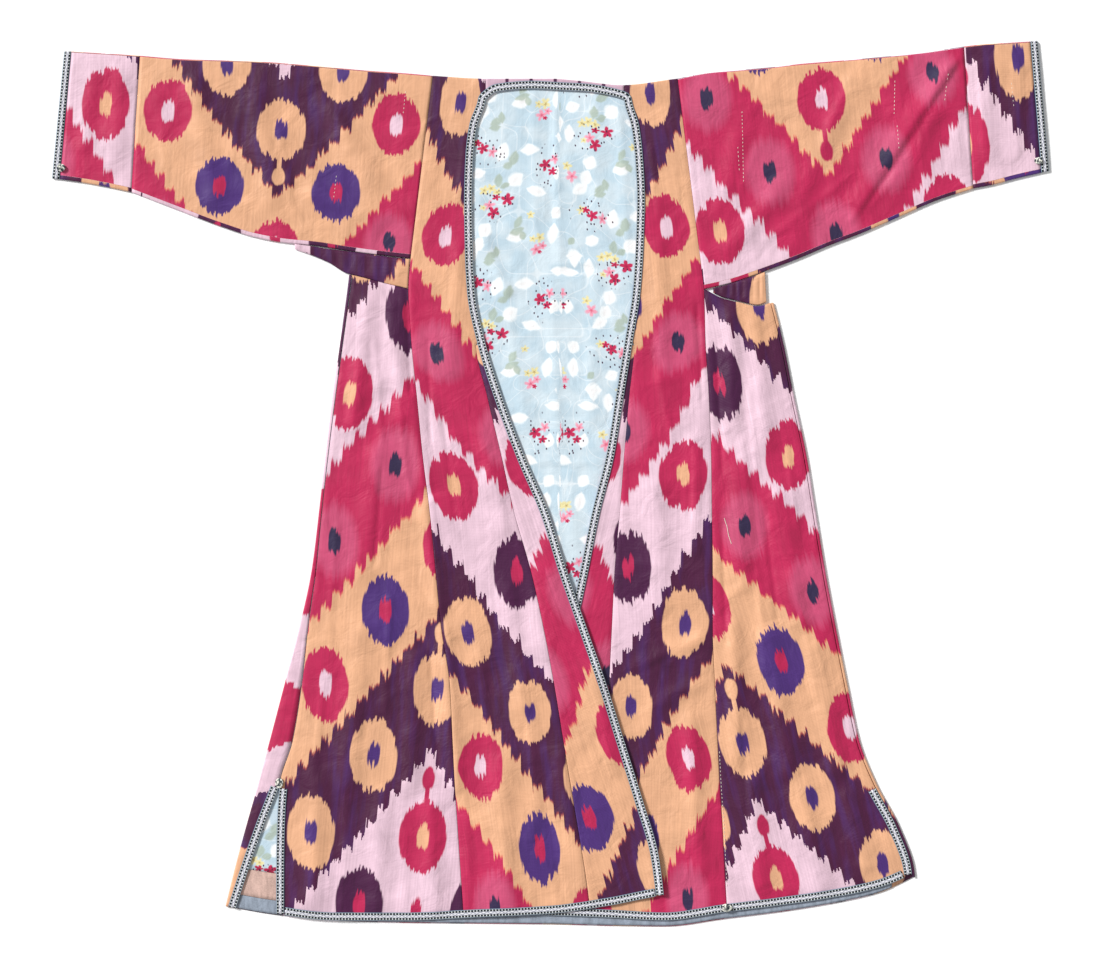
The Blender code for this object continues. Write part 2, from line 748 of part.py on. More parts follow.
def build_sleeves():
    """Each sleeve: a wide length, a shorter wrist length, and the tape that binds the cuff."""
    build_sleeve("sleeve_left_upper", SLEEVE_LEFT, 2, "ikat", -1)
    build_sleeve("sleeve_left_wrist", WRIST_LEFT, 2, "ikat", -1)
    build_sleeve("band_cuff_left", CUFF_LEFT, 1, "tape", -1)
    build_sleeve("sleeve_right_upper", SLEEVE_RIGHT, 2, "ikat", 1)
    build_sleeve("sleeve_right_wrist", WRIST_RIGHT, 2, "ikat", 1)
    build_sleeve("band_cuff_right", CUFF_RIGHT, 1, "tape", 1)


def build_gusset(name, sections):
    """An underarm gusset folded in two along its lower edge, open towards the sleeve."""
    grid = []
    for top_x, top_y, bottom_x, bottom_y in sections:
        upper = Vector((top_x, top_y)) * MM - Vector((0, CLOTH / 2 + SIDE_GAP))
        fold = Vector((bottom_x, bottom_y)) * MM + Vector((0, CLOTH / 2 + GAP + FOLD_RADIUS))
        row = [upper.lerp(fold, share).to_3d() + Vector((0, 0, FRONT_Z)) for share in steps(2)]
        for i in range(1, FOLD_STEPS + 1):
            angle = math.pi * i / (FOLD_STEPS + 1)
            row.append(Vector((fold.x, fold.y - FOLD_RADIUS * math.sin(angle),
                               FOLD_Z + FOLD_RADIUS * math.cos(angle))))
        row += [fold.lerp(upper, share).to_3d() + Vector((0, 0, BACK_Z)) for share in steps(1)]
        grid.append(row)
    add_wall(name, grid, CLOTH, "gusset")


def build_knots():
    """Small thread knots that finish the tape at the cuffs, the hem and the slit."""
    for name, (x, y, length, width, height, seat) in KNOTS.items():
        surface = FRONT_Z + CLOTH / 2 + GAP
        if seat == "tape":
            surface = right_z(x * MM, y * MM) + CLOTH / 2 + 2 * GAP + TAPE
        mesh = bpy.data.meshes.new(name)
        bm = bmesh.new()
        bmesh.ops.create_uvsphere(bm, u_segments=10, v_segments=6, radius=0.5)
        bmesh.ops.scale(bm, vec=Vector((length, width, height)) * MM, verts=bm.verts)
        centre = Vector((x * MM, y * MM, surface + height * MM / 2 + GAP / 2))
        bmesh.ops.translate(bm, vec=centre, verts=bm.verts)
        bm.to_mesh(mesh)
        bm.free()
        add_object(name, mesh, "thread")


for old in list(bpy.data.objects):
    bpy.data.objects.remove(old, do_unlink=True)
robe = bpy.data.collections.new("chapan_robe")
bpy.context.scene.collection.children.link(robe)

build_back()
build_lining()
build_fronts()
build_sleeves()
build_gusset("gusset_left", GUSSET_LEFT)
build_gusset("gusset_right", GUSSET_RIGHT)
build_knots()
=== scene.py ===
import math

import bpy
import numpy as np
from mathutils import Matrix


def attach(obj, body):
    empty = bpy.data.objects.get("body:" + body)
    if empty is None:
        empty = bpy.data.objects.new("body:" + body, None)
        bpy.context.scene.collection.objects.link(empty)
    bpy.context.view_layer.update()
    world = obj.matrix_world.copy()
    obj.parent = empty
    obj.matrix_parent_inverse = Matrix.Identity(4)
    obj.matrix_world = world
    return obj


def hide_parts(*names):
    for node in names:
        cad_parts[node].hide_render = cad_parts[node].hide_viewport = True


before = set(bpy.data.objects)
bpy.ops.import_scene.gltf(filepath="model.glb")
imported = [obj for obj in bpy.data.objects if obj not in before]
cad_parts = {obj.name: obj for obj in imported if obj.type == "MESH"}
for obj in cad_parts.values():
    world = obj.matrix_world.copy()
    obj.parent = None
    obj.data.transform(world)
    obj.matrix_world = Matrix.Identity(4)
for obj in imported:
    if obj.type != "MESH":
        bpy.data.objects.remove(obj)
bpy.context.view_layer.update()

# Camera: the robe is photographed from straight above, laid out flat.  The middle of the picture
# is the origin of the frame, and 1.54 m of the surface shows across it.
PICTURE_WIDTH = 1.54
LENS = 85.0
SENSOR = 36.0
camera_data = bpy.data.cameras.new("overhead_camera")
camera_data.lens = LENS
camera_data.sensor_width = SENSOR
camera = bpy.data.objects.new("overhead_camera", camera_data)
camera.location = (-0.0008, -0.0073, PICTURE_WIDTH * LENS / SENSOR + 0.004)
bpy.context.scene.collection.objects.link(camera)
bpy.context.scene.camera = camera


# Surface and light: a white sheet of board under the robe, lit evenly from all round, with a
# softer and stronger lamp over the upper left that brings out the folds.
def linear(hex_colour):
    """An sRGB hex colour as linear red, green, blue and alpha."""
    parts = [int(hex_colour[i:i + 2], 16) / 255 for i in (1, 3, 5)]
    return (*[p / 12.92 if p <= 0.04045 else ((p + 0.055) / 1.055) ** 2.4 for p in parts], 1.0)


def add_node(tree, kind, *values, named=None, **settings):
    """Adds a node, sets it up, and feeds its inputs in order or by name.

    A kind may carry an operation after a space.  A value is a number, a colour, a socket or a
    node, whose first output is then used.
    """
    kind, _, operation = kind.partition(" ")
    node = tree.nodes.new(kind if "Node" in kind else "ShaderNode" + kind)
    if operation:
        node.operation = operation
    for name, value in settings.items():
        setattr(node, name, value)
    feeds = list(zip([s for s in node.inputs if s.enabled], values))
    feeds += [(node.inputs[name], value) for name, value in (named or {}).items()]
    for socket, value in feeds:
        if value is None:
            continue
        if isinstance(value, bpy.types.Node):
            value = next(s for s in value.outputs if s.enabled)
        if isinstance(value, bpy.types.NodeSocket):
            tree.links.new(value, socket)
        else:
            socket.default_value = value
    return node


def new_material(name, colour, roughness, sheen=0.0, specular=0.5):
    """A material with its plain values set on its shader; returns it and its node tree."""
    material = bpy.data.materials.new(name)
    material.use_nodes = True
    shader = material.node_tree.nodes["Principled BSDF"]
    shader.inputs["Base Color"].default_value = linear(colour)
    shader.inputs["Roughness"].default_value = roughness
    shader.inputs["Sheen Weight"].default_value = sheen
    shader.inputs["Specular IOR Level"].default_value = specular
    return material, material.node_tree


board, board_tree = new_material("matt_white_board", "#FFFFFF", 0.9, specular=0.0)
board_place = add_node(board_tree, "TexCoord")
board_grain = add_node(board_tree, "TexNoise", named={"Vector": board_place.outputs["Object"],
                                                      "Scale": 90.0})
board_bump = add_node(board_tree, "Bump", named={"Height": board_grain, "Strength": 0.02})
board_tree.links.new(board_bump.outputs[0],
                     board_tree.nodes["Principled BSDF"].inputs["Normal"])
floor_mesh = bpy.data.meshes.new("white_board")
floor_mesh.from_pydata([(-8, -8, -0.0006), (8, -8, -0.0006), (8, 8, -0.0006), (-8, 8, -0.0006)],
                       [], [(0, 1, 2, 3)])
floor_mesh.materials.append(board)
floor = bpy.data.objects.new("white_board", floor_mesh)
bpy.context.scene.collection.objects.link(floor)

studio = bpy.data.worlds.new("even_studio_light")
studio.use_nodes = True
studio.node_tree.nodes["Background"].inputs["Color"].default_value = (1.0, 1.0, 1.0, 1.0)
studio.node_tree.nodes["Background"].inputs["Strength"].default_value = 0.44
bpy.context.scene.world = studio
lamp_data = bpy.data.lights.new("upper_left_lamp", "SUN")
lamp_data.energy = 3.85
lamp_data.angle = math.radians(14)
lamp = bpy.data.objects.new("upper_left_lamp", lamp_data)
lamp.rotation_euler = (math.radians(-26), math.radians(-48), 0.0)
bpy.context.scene.collection.objects.link(lamp)
bpy.context.scene.view_settings.view_transform = "Standard"

# Ikat cloth: adras, with a silk warp over a cotton weft.  The warp is bound and dipped before
# weaving, so the colours meet in feathered steps; it has a soft gloss and faint ribs.
REPEAT = 0.189
BAND_SLOPE = 1.25
BAND_BEND = 0.43
BAND_SHIFT = 0.013
BUNDLE = 0.0148
THREAD_GROUP = 0.0048
THREAD = 0.0013
DISC_COLUMNS = (0.0, 0.080, 0.157)
DISC_CLIMB = (0.0, 0.0950, 0.2085)
DISC_HALF = (0.0335, 0.0465)
CORE_HALF = (0.0088, 0.0150)
STEM_HALF = 0.0032
DROP_HALF = (0.0088, 0.0145)
DROP_AWAY = 0.074
CRIMSON = "#B81A4F"
LILAC = "#E0BECD"
AMBER = "#DFA882"
PURPLE = "#480A37"
VIOLET = "#482670"
PINK = "#C4486F"
NAVY = "#2C1F44"
WINE = "#460A3D"
BANDS = (PURPLE, AMBER, CRIMSON, LILAC)
BLEEDS = {PURPLE: "#B2524A", AMBER: "#D4574F"}
DISCS = ((AMBER, AMBER, AMBER), (CRIMSON, VIOLET, CRIMSON), (PINK, PINK, PINK),
         (CRIMSON, WINE, CRIMSON))
CORES = ((VIOLET, VIOLET, VIOLET), (LILAC, CRIMSON, LILAC), (NAVY, NAVY, NAVY),
         (AMBER, CRIMSON, AMBER))


def colour_ramp(tree, factor, stops, blend="CONSTANT"):
    """A colour ramp from (position, hex colour) stops."""
    ramp = add_node(tree, "ValToRGB", factor)
    ramp.color_ramp.interpolation = blend
    elements = ramp.color_ramp.elements
    for element, (position, colour) in zip(elements, (stops[0], stops[-1])):
        element.position = position
        element.color = linear(colour)
    for position, colour in stops[1:-1]:
        elements.new(position).color = linear(colour)
    return ramp


def band_climb(tree, distance):
    """How far the dyed bands climb at a distance from the middle of the loom width."""
    slope = add_node(tree, "Math MULTIPLY_ADD", distance, BAND_BEND, BAND_SLOPE)
    return add_node(tree, "Math MULTIPLY", distance, slope)


def thread_slip(tree, across, key, reach):
    """How far each thread has slipped along the warp: whole groups, single threads, a few far."""
    total = None
    for pitch, seed, share, power in ((THREAD_GROUP, 3.0, 0.30, 1.0), (THREAD * 2, 5.0, 0.50, 1.0),
                                      (THREAD, 7.0, 0.35, 1.0), (THREAD * 2, 11.0, 0.5, 9.0)):
        group = add_node(tree, "Math SNAP", across, pitch)
        place = add_node(tree, "CombineXYZ", group, key, seed)
        noise = add_node(tree, "TexWhiteNoise", place, noise_dimensions="3D")
        value = add_node(tree, "Math POWER", noise.outputs["Value"], power)
        middle = -0.5 * share * reach if power == 1.0 else 0.0
        slip = add_node(tree, "Math MULTIPLY_ADD", value, share * reach, middle)
        total = slip if total is None else add_node(tree, "Math ADD", total, slip)
    return total


def dyed_ikat(tree, across, along):
    """Colour of the dyed warp at a distance across the loom and along the warp."""
    away = add_node(tree, "Math ABSOLUTE", across)
    bundle = add_node(tree, "Math SNAP", add_node(tree, "Math ADD", away, BUNDLE / 2), BUNDLE)
    stair = add_node(tree, "Mix", 0.94, away, bundle)
    level = add_node(tree, "Math ADD", along, band_climb(tree, stair))
    level = add_node(tree, "Math SUBTRACT", level, BAND_SHIFT)
    number = add_node(tree, "Math FLOOR", add_node(tree, "Math DIVIDE", level, REPEAT))
    level = add_node(tree, "Math ADD", level, thread_slip(tree, across, number, 0.0150))
    turn = add_node(tree, "Math DIVIDE", level, 4 * REPEAT)
    turn = add_node(tree, "Math FRACT", add_node(tree, "Math ADD", turn, 0.125))
    soft = 0.0016
    stops = []
    for i, colour in enumerate(BANDS):
        stops += [(i / 4 + soft, colour), ((i + 1) / 4 - soft, colour)]
        if colour in BLEEDS:
            stops += [((i + 1) / 4 + 0.0004, BLEEDS[colour])]
    base = colour_ramp(tree, turn, stops, "LINEAR")
    place = add_node(tree, "CombineXYZ", add_node(tree, "Math MULTIPLY", across, 75.0),
                     add_node(tree, "Math MULTIPLY", along, 11.0))
    uneven = add_node(tree, "TexNoise", named={"Vector": place, "Scale": 1.0, "Detail": 2.0})
    uneven = add_node(tree, "MapRange", uneven.outputs[0], 0.46, 0.68, 0.0, 0.42)
    uneven = add_node(tree, "Math MULTIPLY", uneven, add_node(tree, "Math LESS_THAN", turn, 0.25))
    base = add_node(tree, "Mix", uneven, base, linear(VIOLET), data_type="RGBA")

    first = add_node(tree, "Math GREATER_THAN", away, DISC_COLUMNS[1] / 2)
    second = add_node(tree, "Math GREATER_THAN", away, (DISC_COLUMNS[1] + DISC_COLUMNS[2]) / 2)
    column = add_node(tree, "Math ADD", first, second)
    middle = add_node(tree, "Math MULTIPLY", first, DISC_COLUMNS[1])
    middle = add_node(tree, "Math MULTIPLY_ADD", second, DISC_COLUMNS[2] - DISC_COLUMNS[1], middle)
    climb = add_node(tree, "Math MULTIPLY", first, DISC_CLIMB[1])
    climb = add_node(tree, "Math MULTIPLY_ADD", second, DISC_CLIMB[2] - DISC_CLIMB[1], climb)
    share = add_node(tree, "Math DIVIDE", add_node(tree, "Math ADD", along, climb), REPEAT)
    number = add_node(tree, "Math ROUND", share)
    kind = add_node(tree, "Math FRACT", add_node(tree, "Math DIVIDE", number, 4.0))
    plain = add_node(tree, "Math COMPARE", kind, 0.5, 0.01)
    aside = add_node(tree, "Math SUBTRACT", away, middle)
    above = add_node(tree, "Math MULTIPLY", add_node(tree, "Math SUBTRACT", share, number), REPEAT)
    half = add_node(tree, "Math SIGN", above)
    key = add_node(tree, "Math MULTIPLY_ADD", number, 3.0, half)
    up = add_node(tree, "Math ABSOLUTE", above)
    up = add_node(tree, "Math ADD", up, thread_slip(tree, across, key, 0.0130))

    def oval(x, y, halves, edge, power=2.0):
        """1 inside an oval of those half sizes and 0 outside it, with a soft edge."""
        x = add_node(tree, "Math ABSOLUTE", add_node(tree, "Math DIVIDE", x, halves[0]))
        y = add_node(tree, "Math DIVIDE", y, halves[1])
        square = add_node(tree, "Math POWER", x, power)
        square = add_node(tree, "Math MULTIPLY_ADD", y, y, square)
        low = add_node(tree, "Math SUBTRACT", 1.0, edge)
        high = add_node(tree, "Math ADD", 1.0, edge)
        return add_node(tree, "MapRange", square, low, high, 1.0, 0.0)

    choice = add_node(tree, "Math MULTIPLY_ADD", column, 1 / 12, 1 / 24)
    choice = add_node(tree, "Math ADD", choice, kind)
    disc_colour = colour_ramp(tree, choice, [(i / 12, c) for i, c in enumerate(sum(DISCS, ()))])
    core_colour = colour_ramp(tree, choice, [(i / 12, c) for i, c in enumerate(sum(CORES, ()))])
    soft_edge = add_node(tree, "Math MULTIPLY_ADD", plain, 0.30, 0.05)
    disc = oval(aside, up, DISC_HALF, soft_edge)
    core = oval(aside, up, CORE_HALF, 0.25, 4.0)

    # The discs in the middle of the loom width hang a drop on a stem, but for the crimson bands.
    hung = add_node(tree, "Math SUBTRACT", add_node(tree, "Math LESS_THAN", column, 0.5), plain)
    below = add_node(tree, "Math SUBTRACT", above, DROP_AWAY)
    below = add_node(tree, "Math ADD", below, thread_slip(tree, across, key, 0.0040))
    drop = oval(across, below, DROP_HALF, 0.2)
    stem = oval(across, add_node(tree, "Math SUBTRACT", above, 0.050), (STEM_HALF, 0.030), 0.2)
    pendant = add_node(tree, "Math MAXIMUM", drop, stem)
    pendant = add_node(tree, "Math MULTIPLY", pendant, add_node(tree, "Math MAXIMUM", hung, 0.0))
    disc = add_node(tree, "Math MAXIMUM", disc, pendant)

    colour = add_node(tree, "Mix", disc, base, disc_colour, data_type="RGBA")
    return add_node(tree, "Mix", core, colour, core_colour, data_type="RGBA")


def woven_relief(tree, across, along, rib, crinkle):
    """Bump from the ribs of the weave and the small creases that handling leaves."""
    ribs = add_node(tree, "Math SINE", add_node(tree, "Math MULTIPLY", along, 2 * math.pi / rib))
    threads = add_node(tree, "Math SINE",
                       add_node(tree, "Math MULTIPLY", across, 2 * math.pi / THREAD))
    weave = add_node(tree, "Math MULTIPLY_ADD", threads, 0.5, ribs)
    place = add_node(tree, "TexCoord").outputs["Object"]
    creases = add_node(tree, "TexNoise", named={"Vector": place, "Scale": 30.0, "Detail": 4.0,
                                                "Distortion": 0.8})
    puckers = add_node(tree, "TexNoise", named={"Vector": place, "Scale": 11.0, "Detail": 2.0,
                                                "Distortion": 0.5})
    height = add_node(tree, "Math MULTIPLY", creases.outputs[0], crinkle)
    height = add_node(tree, "Math MULTIPLY_ADD", puckers.outputs[0], 2.2 * crinkle, height)
    height = add_node(tree, "Math MULTIPLY_ADD", weave, 0.00003, height)
    bump = add_node(tree, "Bump", named={"Height": height, "Strength": 1.0, "Distance": 1.0})
    tree.links.new(bump.outputs[0], tree.nodes["Principled BSDF"].inputs["Normal"])


def warp_streaks(tree, across, along, colour, low, high):
    """The colour, lighter and darker from thread to thread and where the dye took unevenly."""
    place = add_node(tree, "CombineXYZ", add_node(tree, "Math MULTIPLY", across, 420.0),
                     add_node(tree, "Math MULTIPLY", along, 9.0))
    fine = add_node(tree, "TexNoise", named={"Vector": place, "Scale": 1.0, "Detail": 3.0})
    place = add_node(tree, "CombineXYZ", across, along)
    blotches = add_node(tree, "TexNoise", named={"Vector": place, "Scale": 22.0, "Detail": 3.0})
    value = add_node(tree, "Math ADD", fine.outputs[0], blotches.outputs[0])
    value = add_node(tree, "MapRange", value, 0.6, 1.4, low, high)
    return add_node(tree, "VectorMath SCALE", colour, named={"Scale": value})


def weave_place(tree):
    """Distance across the loom and along the warp, in metres, from the piece's own UV map."""
    place = add_node(tree, "SeparateXYZ", add_node(tree, "UVMap", uv_map="weave"))
    return place.outputs[0], place.outputs[1]


adras, adras_tree = new_material("adras_silk_warp_cotton_weft", CRIMSON, 0.56, 0.12, 0.35)
across, along = weave_place(adras_tree)
dyed = dyed_ikat(adras_tree, across, along)
dyed = warp_streaks(adras_tree, across, along, dyed, 0.80, 1.15)
adras_tree.links.new(dyed.outputs[0], adras_tree.nodes["Principled BSDF"].inputs["Base Color"])
woven_relief(adras_tree, across, along, 0.0019, 0.0026)

# Fronts: each is one loom width of ikat from the shoulder to the hem, cut down the middle, with
# a gore sewn to its free edge and a flared panel at its side.  The left one lies on top.
MM = 0.001
CLOTH = 1.2 * MM
LINING = 1.0 * MM
CLOTH_SHEET = 0.9 * CLOTH
LINING_SHEET = 0.9 * LINING
TAPE = 1.0 * MM
GAP = 0.3 * MM
SEAM = GAP / 2
SIDE_GAP = 0.8 * MM
TAPE_WIDTH = 11 * MM
BACK_Z = CLOTH / 2
LINING_Z = CLOTH + GAP + LINING / 2
FRONT_Z = CLOTH + 2 * GAP + LINING + CLOTH / 2
OVERLAP_RISE = 3.0 * MM
CROSSING = -60 * MM
FOLD_RADIUS = (FRONT_Z - BACK_Z) / 2
FOLD_Z = (FRONT_Z + BACK_Z) / 2
FOLD_TAIL = 4 * MM
UNDERARM = 300 * MM
EDGE_FADE = 32 * MM
SHOULDER_FADE = 50 * MM
TURN_RIGHT = 4 * MM
SLIT = -426 * MM
GORE_TOP = 194
GORE_START = 206
NECK_CORNER = 538 * MM
GRID = 4.2 * MM

# The tables are in millimetres, as a tailor's chart is.
ARMHOLE_LEFT = ((-165, 571), (-196, 316))
ARMHOLE_RIGHT = ((178, 567), (215, 273))
SHOULDER = ((-200, 573), (-165, 571), (-91, 567), (0, 567), (40, 564), (100, 558), (178, 567),
            (230, 572))
NECK = ((-91, 538), (-74, 549), (-25, 553), (13, 551), (50, 549), (86, 543), (103, 538))
FRONT_COLUMNS = ("height", "left", "right")
FRONT_EDGES = (
    (600, -91, 103),
    (538, -91, 103),
    (500, -103, 113),
    (460, -108, 118),
    (400, -110, 121),
    (330, -109, 119),
    (270, -106, 115),
    (200, -92, 104),
    (120, -67, 91),
    (40, -37, 78),
    (-40, -3, 58),
    (-120, 22, 42),
    (-200, 50, 25),
    (-280, 78, 5),
    (-360, 103, -15),
    (-440, 128, -33),
    (-520, 151, -47),
    (-630, 164, -64),
)
SKIRT_COLUMNS = ("height", "side_left", "turn_left", "front_left", "seam_left", "gore_left",
                 "gore_right", "seam_right", "side_right")
SKIRT = (
    (316, -279, -275, -275, -196, -106, 119, 210, 290),
    (273, -284, -280, -280, -199, -105, 119, 215, 306),
    (200, -294, -290, -290, -195, -105, 118, 217, 325),
    (120, -305, -301, -301, -187, -88, 110, 222, 341),
    (40, -315, -311, -311, -179, -69, 103, 225, 358),
    (-40, -324, -320, -320, -169, -51, 97, 226, 371),
    (-120, -334, -328, -328, -161, -28, 90, 227, 384),
    (-200, -351, -339, -339, -153, -10, 86, 227, 399),
    (-280, -372, -348, -348, -141, 5, 82, 230, 415),
    (-360, -393, -361, -361, -137, 18, 77, 234, 432),
    (-420, -409, -379, -379, -134, 28, 73, 237, 456),
    (-480, -426, -402, -383, -130, 38, 69, 241, 488),
    (-540, -442, -423, -384, -126, 48, 65, 244, 509),
    (-630, -464, -452, -384, -120, 60, 58, 249, 516),
)
HEM_COLUMNS = ("x", "left", "right", "back")
HEM = (
    (-470, -588, -600, -589),
    (-384, -602, -600, -604),
    (-300, -611, -600, -612),
    (-200, -611, -600, -615),
    (-100, -606, -602, -616),
    (0, -601, -604, -617),
    (80, -590, -607, -619),
    (160, -574, -611, -620),
    (240, -560, -600, -610),
    (320, -560, -590, -600),
    (400, -560, -578, -587),
    (460, -560, -565, -573),
    (520, -560, -540, -545),
)
SIDE_TOP_LEFT = ((-300, 296), (-285, 294), (-240, 283), (-199, 273), (-190, 271))
SIDE_TOP_RIGHT = ((205, 277), (215, 273), (241, 260), (265, 254), (290, 249), (320, 259))

# Soft folds of the front layer: start x, start y, end x, end y, half width, height.
FOLDS = (
    (-258, 250, -276, 90, 15, 3.2),
    (-222, 245, -207, 95, 12, 2.6),
    (-196, 120, -176, 0, 11, 2.4),
    (-243, 40, -262, -120, 17, 2.6),
    (-176, -30, -158, -170, 12, 3.4),
    (-146, -210, -133, -420, 13, 3.4),
    (-190, -250, -196, -420, 15, 2.6),
    (-262, -210, -286, -420, 18, 3.0),
    (-235, -440, -243, -585, 15, 2.8),
    (-168, -455, -163, -590, 13, 3.2),
    (-325, -420, -334, -585, 14, 2.6),
    (-128, 330, -142, 160, 13, 2.2),
    (-98, 70, -66, -60, 12, 2.4),
    (-60, -150, -38, -310, 15, 2.8),
    (-70, -400, -58, -580, 16, 3.0),
    (15, -380, 42, -560, 14, 2.6),
    (62, -260, 88, -400, 11, 2.2),
    (150, 330, 158, 150, 13, 2.2),
    (200, 60, 202, -90, 12, 2.6),
    (150, -10, 158, -170, 15, 2.4),
    (110, -262, 205, -218, 12, 2.4),
    (120, -330, 200, -280, 12, 2.2),
    (196, -330, 206, -540, 13, 3.2),
    (150, -420, 160, -590, 15, 2.8),
    (252, 235, 256, 80, 12, 3.0),
    (284, 225, 301, 60, 13, 2.8),
    (262, 20, 270, -140, 15, 2.8),
    (322, -20, 345, -190, 17, 3.2),
    (255, -200, 262, -380, 13, 3.2),
    (308, -220, 334, -400, 17, 3.4),
    (372, -230, 398, -400, 16, 3.2),
    (284, -420, 292, -560, 15, 3.0),
    (352, -430, 376, -555, 16, 3.2),
    (418, -440, 440, -530, 14, 2.8),
    (-240, 372, -330, 405, 15, 2.8),
    (-250, 430, -305, 520, 15, 2.6),
    (-390, 400, -410, 540, 16, 2.6),
    (-470, 400, -500, 560, 14, 2.2),
    (-612, 450, -600, 570, 13, 2.0),
    (-655, 470, -640, 570, 10, 1.6),
    (250, 330, 330, 420, 15, 3.0),
    (262, 480, 240, 390, 14, 2.6),
    (428, 396, 556, 585, 13, 3.0),
    (350, 400, 425, 560, 14, 2.6),
    (485, 420, 540, 520, 12, 2.2),
    (610, 460, 604, 580, 12, 2.0),
    (650, 460, 655, 580, 10, 1.6),
)

# Sharper creases that show in the picture, as low ridges and, where negative, troughs.
CREASES = (
    (421, 369, 566, 592, 5, 1.5),
    (429, 366, 574, 589, 4, -1.3),
    (299, 536, 340, 590, 4, -0.9),
    (-204, 300, -196, 130, 4, -1.1),
    (-236, 20, -246, -110, 4, -1.2),
    (-168, -240, -158, -400, 4, -1.1),
    (205, 250, 212, 120, 4, -1.0),
    (300, -40, 318, -190, 4, -1.2),
    (278, 130, 290, 10, 4, 0.9),
    (142, -440, 150, -580, 4, -1.0),
    (-12, -420, 16, -570, 4, -0.9),
    (429, 368, 488, 438, 5, 1.0),
    (299, 536, 334, 586, 5, 0.8),
    (110, -270, 166, -244, 4, -1.1),
    (106, 40, 127, 25, 4, 0.9),
    (197, 39, 194, -48, 4, -0.9),
    (-172, 200, -168, 60, 4, -1.0),
    (-214, 130, -196, -20, 5, 0.9),
    (-150, 90, -132, -60, 4, -0.8),
    (-246, 200, -236, 60, 5, 0.8),
    (-120, 480, -128, 400, 5, 0.7),
    (140, 470, 152, 380, 5, 0.7),
    (150, 160, 170, 60, 5, 0.9),
    (232, 190, 240, 20, 4, -1.0),
    (268, 60, 282, -80, 5, 0.9),
    (330, 60, 346, -60, 5, 0.9),
    (240, -60, 246, -220, 4, -1.0),
    (290, -120, 300, -260, 5, 0.9),
    (352, -180, 372, -300, 5, 0.9),
    (268, -330, 276, -480, 4, -1.0),
    (330, -400, 346, -520, 5, 0.9),
    (-300, -60, -310, -200, 5, 0.8),
    (-224, -160, -232, -320, 5, 0.9),
    (-318, -280, -330, -400, 5, 0.8),
    (-100, -220, -86, -360, 5, 0.9),
    (-30, -330, -20, -470, 5, 0.8),
    (-120, -440, -112, -560, 5, 0.8),
    (-205, -460, -204, -590, 5, 0.8),
    (-285, -440, -292, -590, 5, 0.9),
    (-20, 30, 0, -60, 5, 0.7),
    (120, -110, 190, -120, 4, 0.6),
    (-360, 380, -380, 500, 5, 0.8),
    (-290, 350, -400, 420, 6, 0.9),
    (-450, 440, -430, 560, 5, 0.8),
    (-540, 430, -550, 540, 5, 0.8),
    (240, 350, 290, 470, 6, 0.9),
    (300, 340, 420, 430, 6, 1.0),
    (380, 470, 430, 600, 5, 0.8),
    (560, 440, 580, 560, 5, 0.7),
)


def smooth_curve(points):
    """A curve through (key, value) points in mm that never overshoots them, in metres."""
    rows = np.array(sorted(points), float) * MM
    keys = rows[:, 0]
    values = rows[:, 1]
    rates = np.diff(values) / np.diff(keys)
    product = rates[1:] * rates[:-1]
    total = np.where(product > 0, rates[1:] + rates[:-1], 1.0)
    inner = np.where(product > 0, 2 * product / total, 0.0)
    slopes = np.concatenate(([rates[0]], inner, [rates[-1]]))

    def value_at(key):
        key = np.clip(key, keys[0], keys[-1])
        i = np.clip(np.searchsorted(keys, key, side="right") - 1, 0, len(keys) - 2)
        step = keys[i + 1] - keys[i]
        t = (key - keys[i]) / step
        return (values[i] * (1 + 2 * t) * (1 - t) ** 2 + slopes[i] * step * t * (1 - t) ** 2
                + values[i + 1] * t * t * (3 - 2 * t) + slopes[i + 1] * step * t * t * (t - 1))

    return value_at


def column_curve(table, columns, name):
    """The curve of one named column of a table against its first column."""
    index = columns.index(name)
    return smooth_curve([(row[0], row[index]) for row in table])


def smoothstep(low, high, value):
    t = np.clip((value - low) / (high - low), 0.0, 1.0)
    return t * t * (3 - 2 * t)


def mix(a, b, t):
    return a + (b - a) * t


shoulder = smooth_curve(SHOULDER)
neck = smooth_curve(NECK)
edge_left = column_curve(FRONT_EDGES, FRONT_COLUMNS, "left")
edge_right = column_curve(FRONT_EDGES, FRONT_COLUMNS, "right")
side_top_left = smooth_curve(SIDE_TOP_LEFT)
side_top_right = smooth_curve(SIDE_TOP_RIGHT)
skirt = {name: column_curve(SKIRT, SKIRT_COLUMNS, name) for name in SKIRT_COLUMNS[1:]}
hem = {name: column_curve(HEM, HEM_COLUMNS, name) for name in HEM_COLUMNS[1:]}


def body_seam(armhole, name):
    """Seam between the middle of the body and a sleeve or side panel, as x at a height."""
    (top_x, top_y), (low_x, low_y) = armhole

    def x_at(y):
        slanted = mix(top_x, low_x, (top_y - y / MM) / (top_y - low_y)) * MM
        return np.where(y > low_y * MM, slanted, skirt[name](y))

    return x_at


seam_left = body_seam(ARMHOLE_LEFT, "seam_left")
seam_right = body_seam(ARMHOLE_RIGHT, "seam_right")


def raised(x, y, folds):
    """Height that a table of soft folds adds at each point."""
    height = np.zeros_like(x)
    for x0, y0, x1, y1, width, top in folds:
        run_x = (x1 - x0) * MM
        run_y = (y1 - y0) * MM
        from_x = x - x0 * MM
        from_y = y - y0 * MM
        t = np.clip((from_x * run_x + from_y * run_y) / (run_x ** 2 + run_y ** 2), 0, 1)
        distance = np.hypot(from_x - t * run_x, from_y - t * run_y)
        height += top * MM * np.exp(-(distance / (width * MM)) ** 2)
    return height


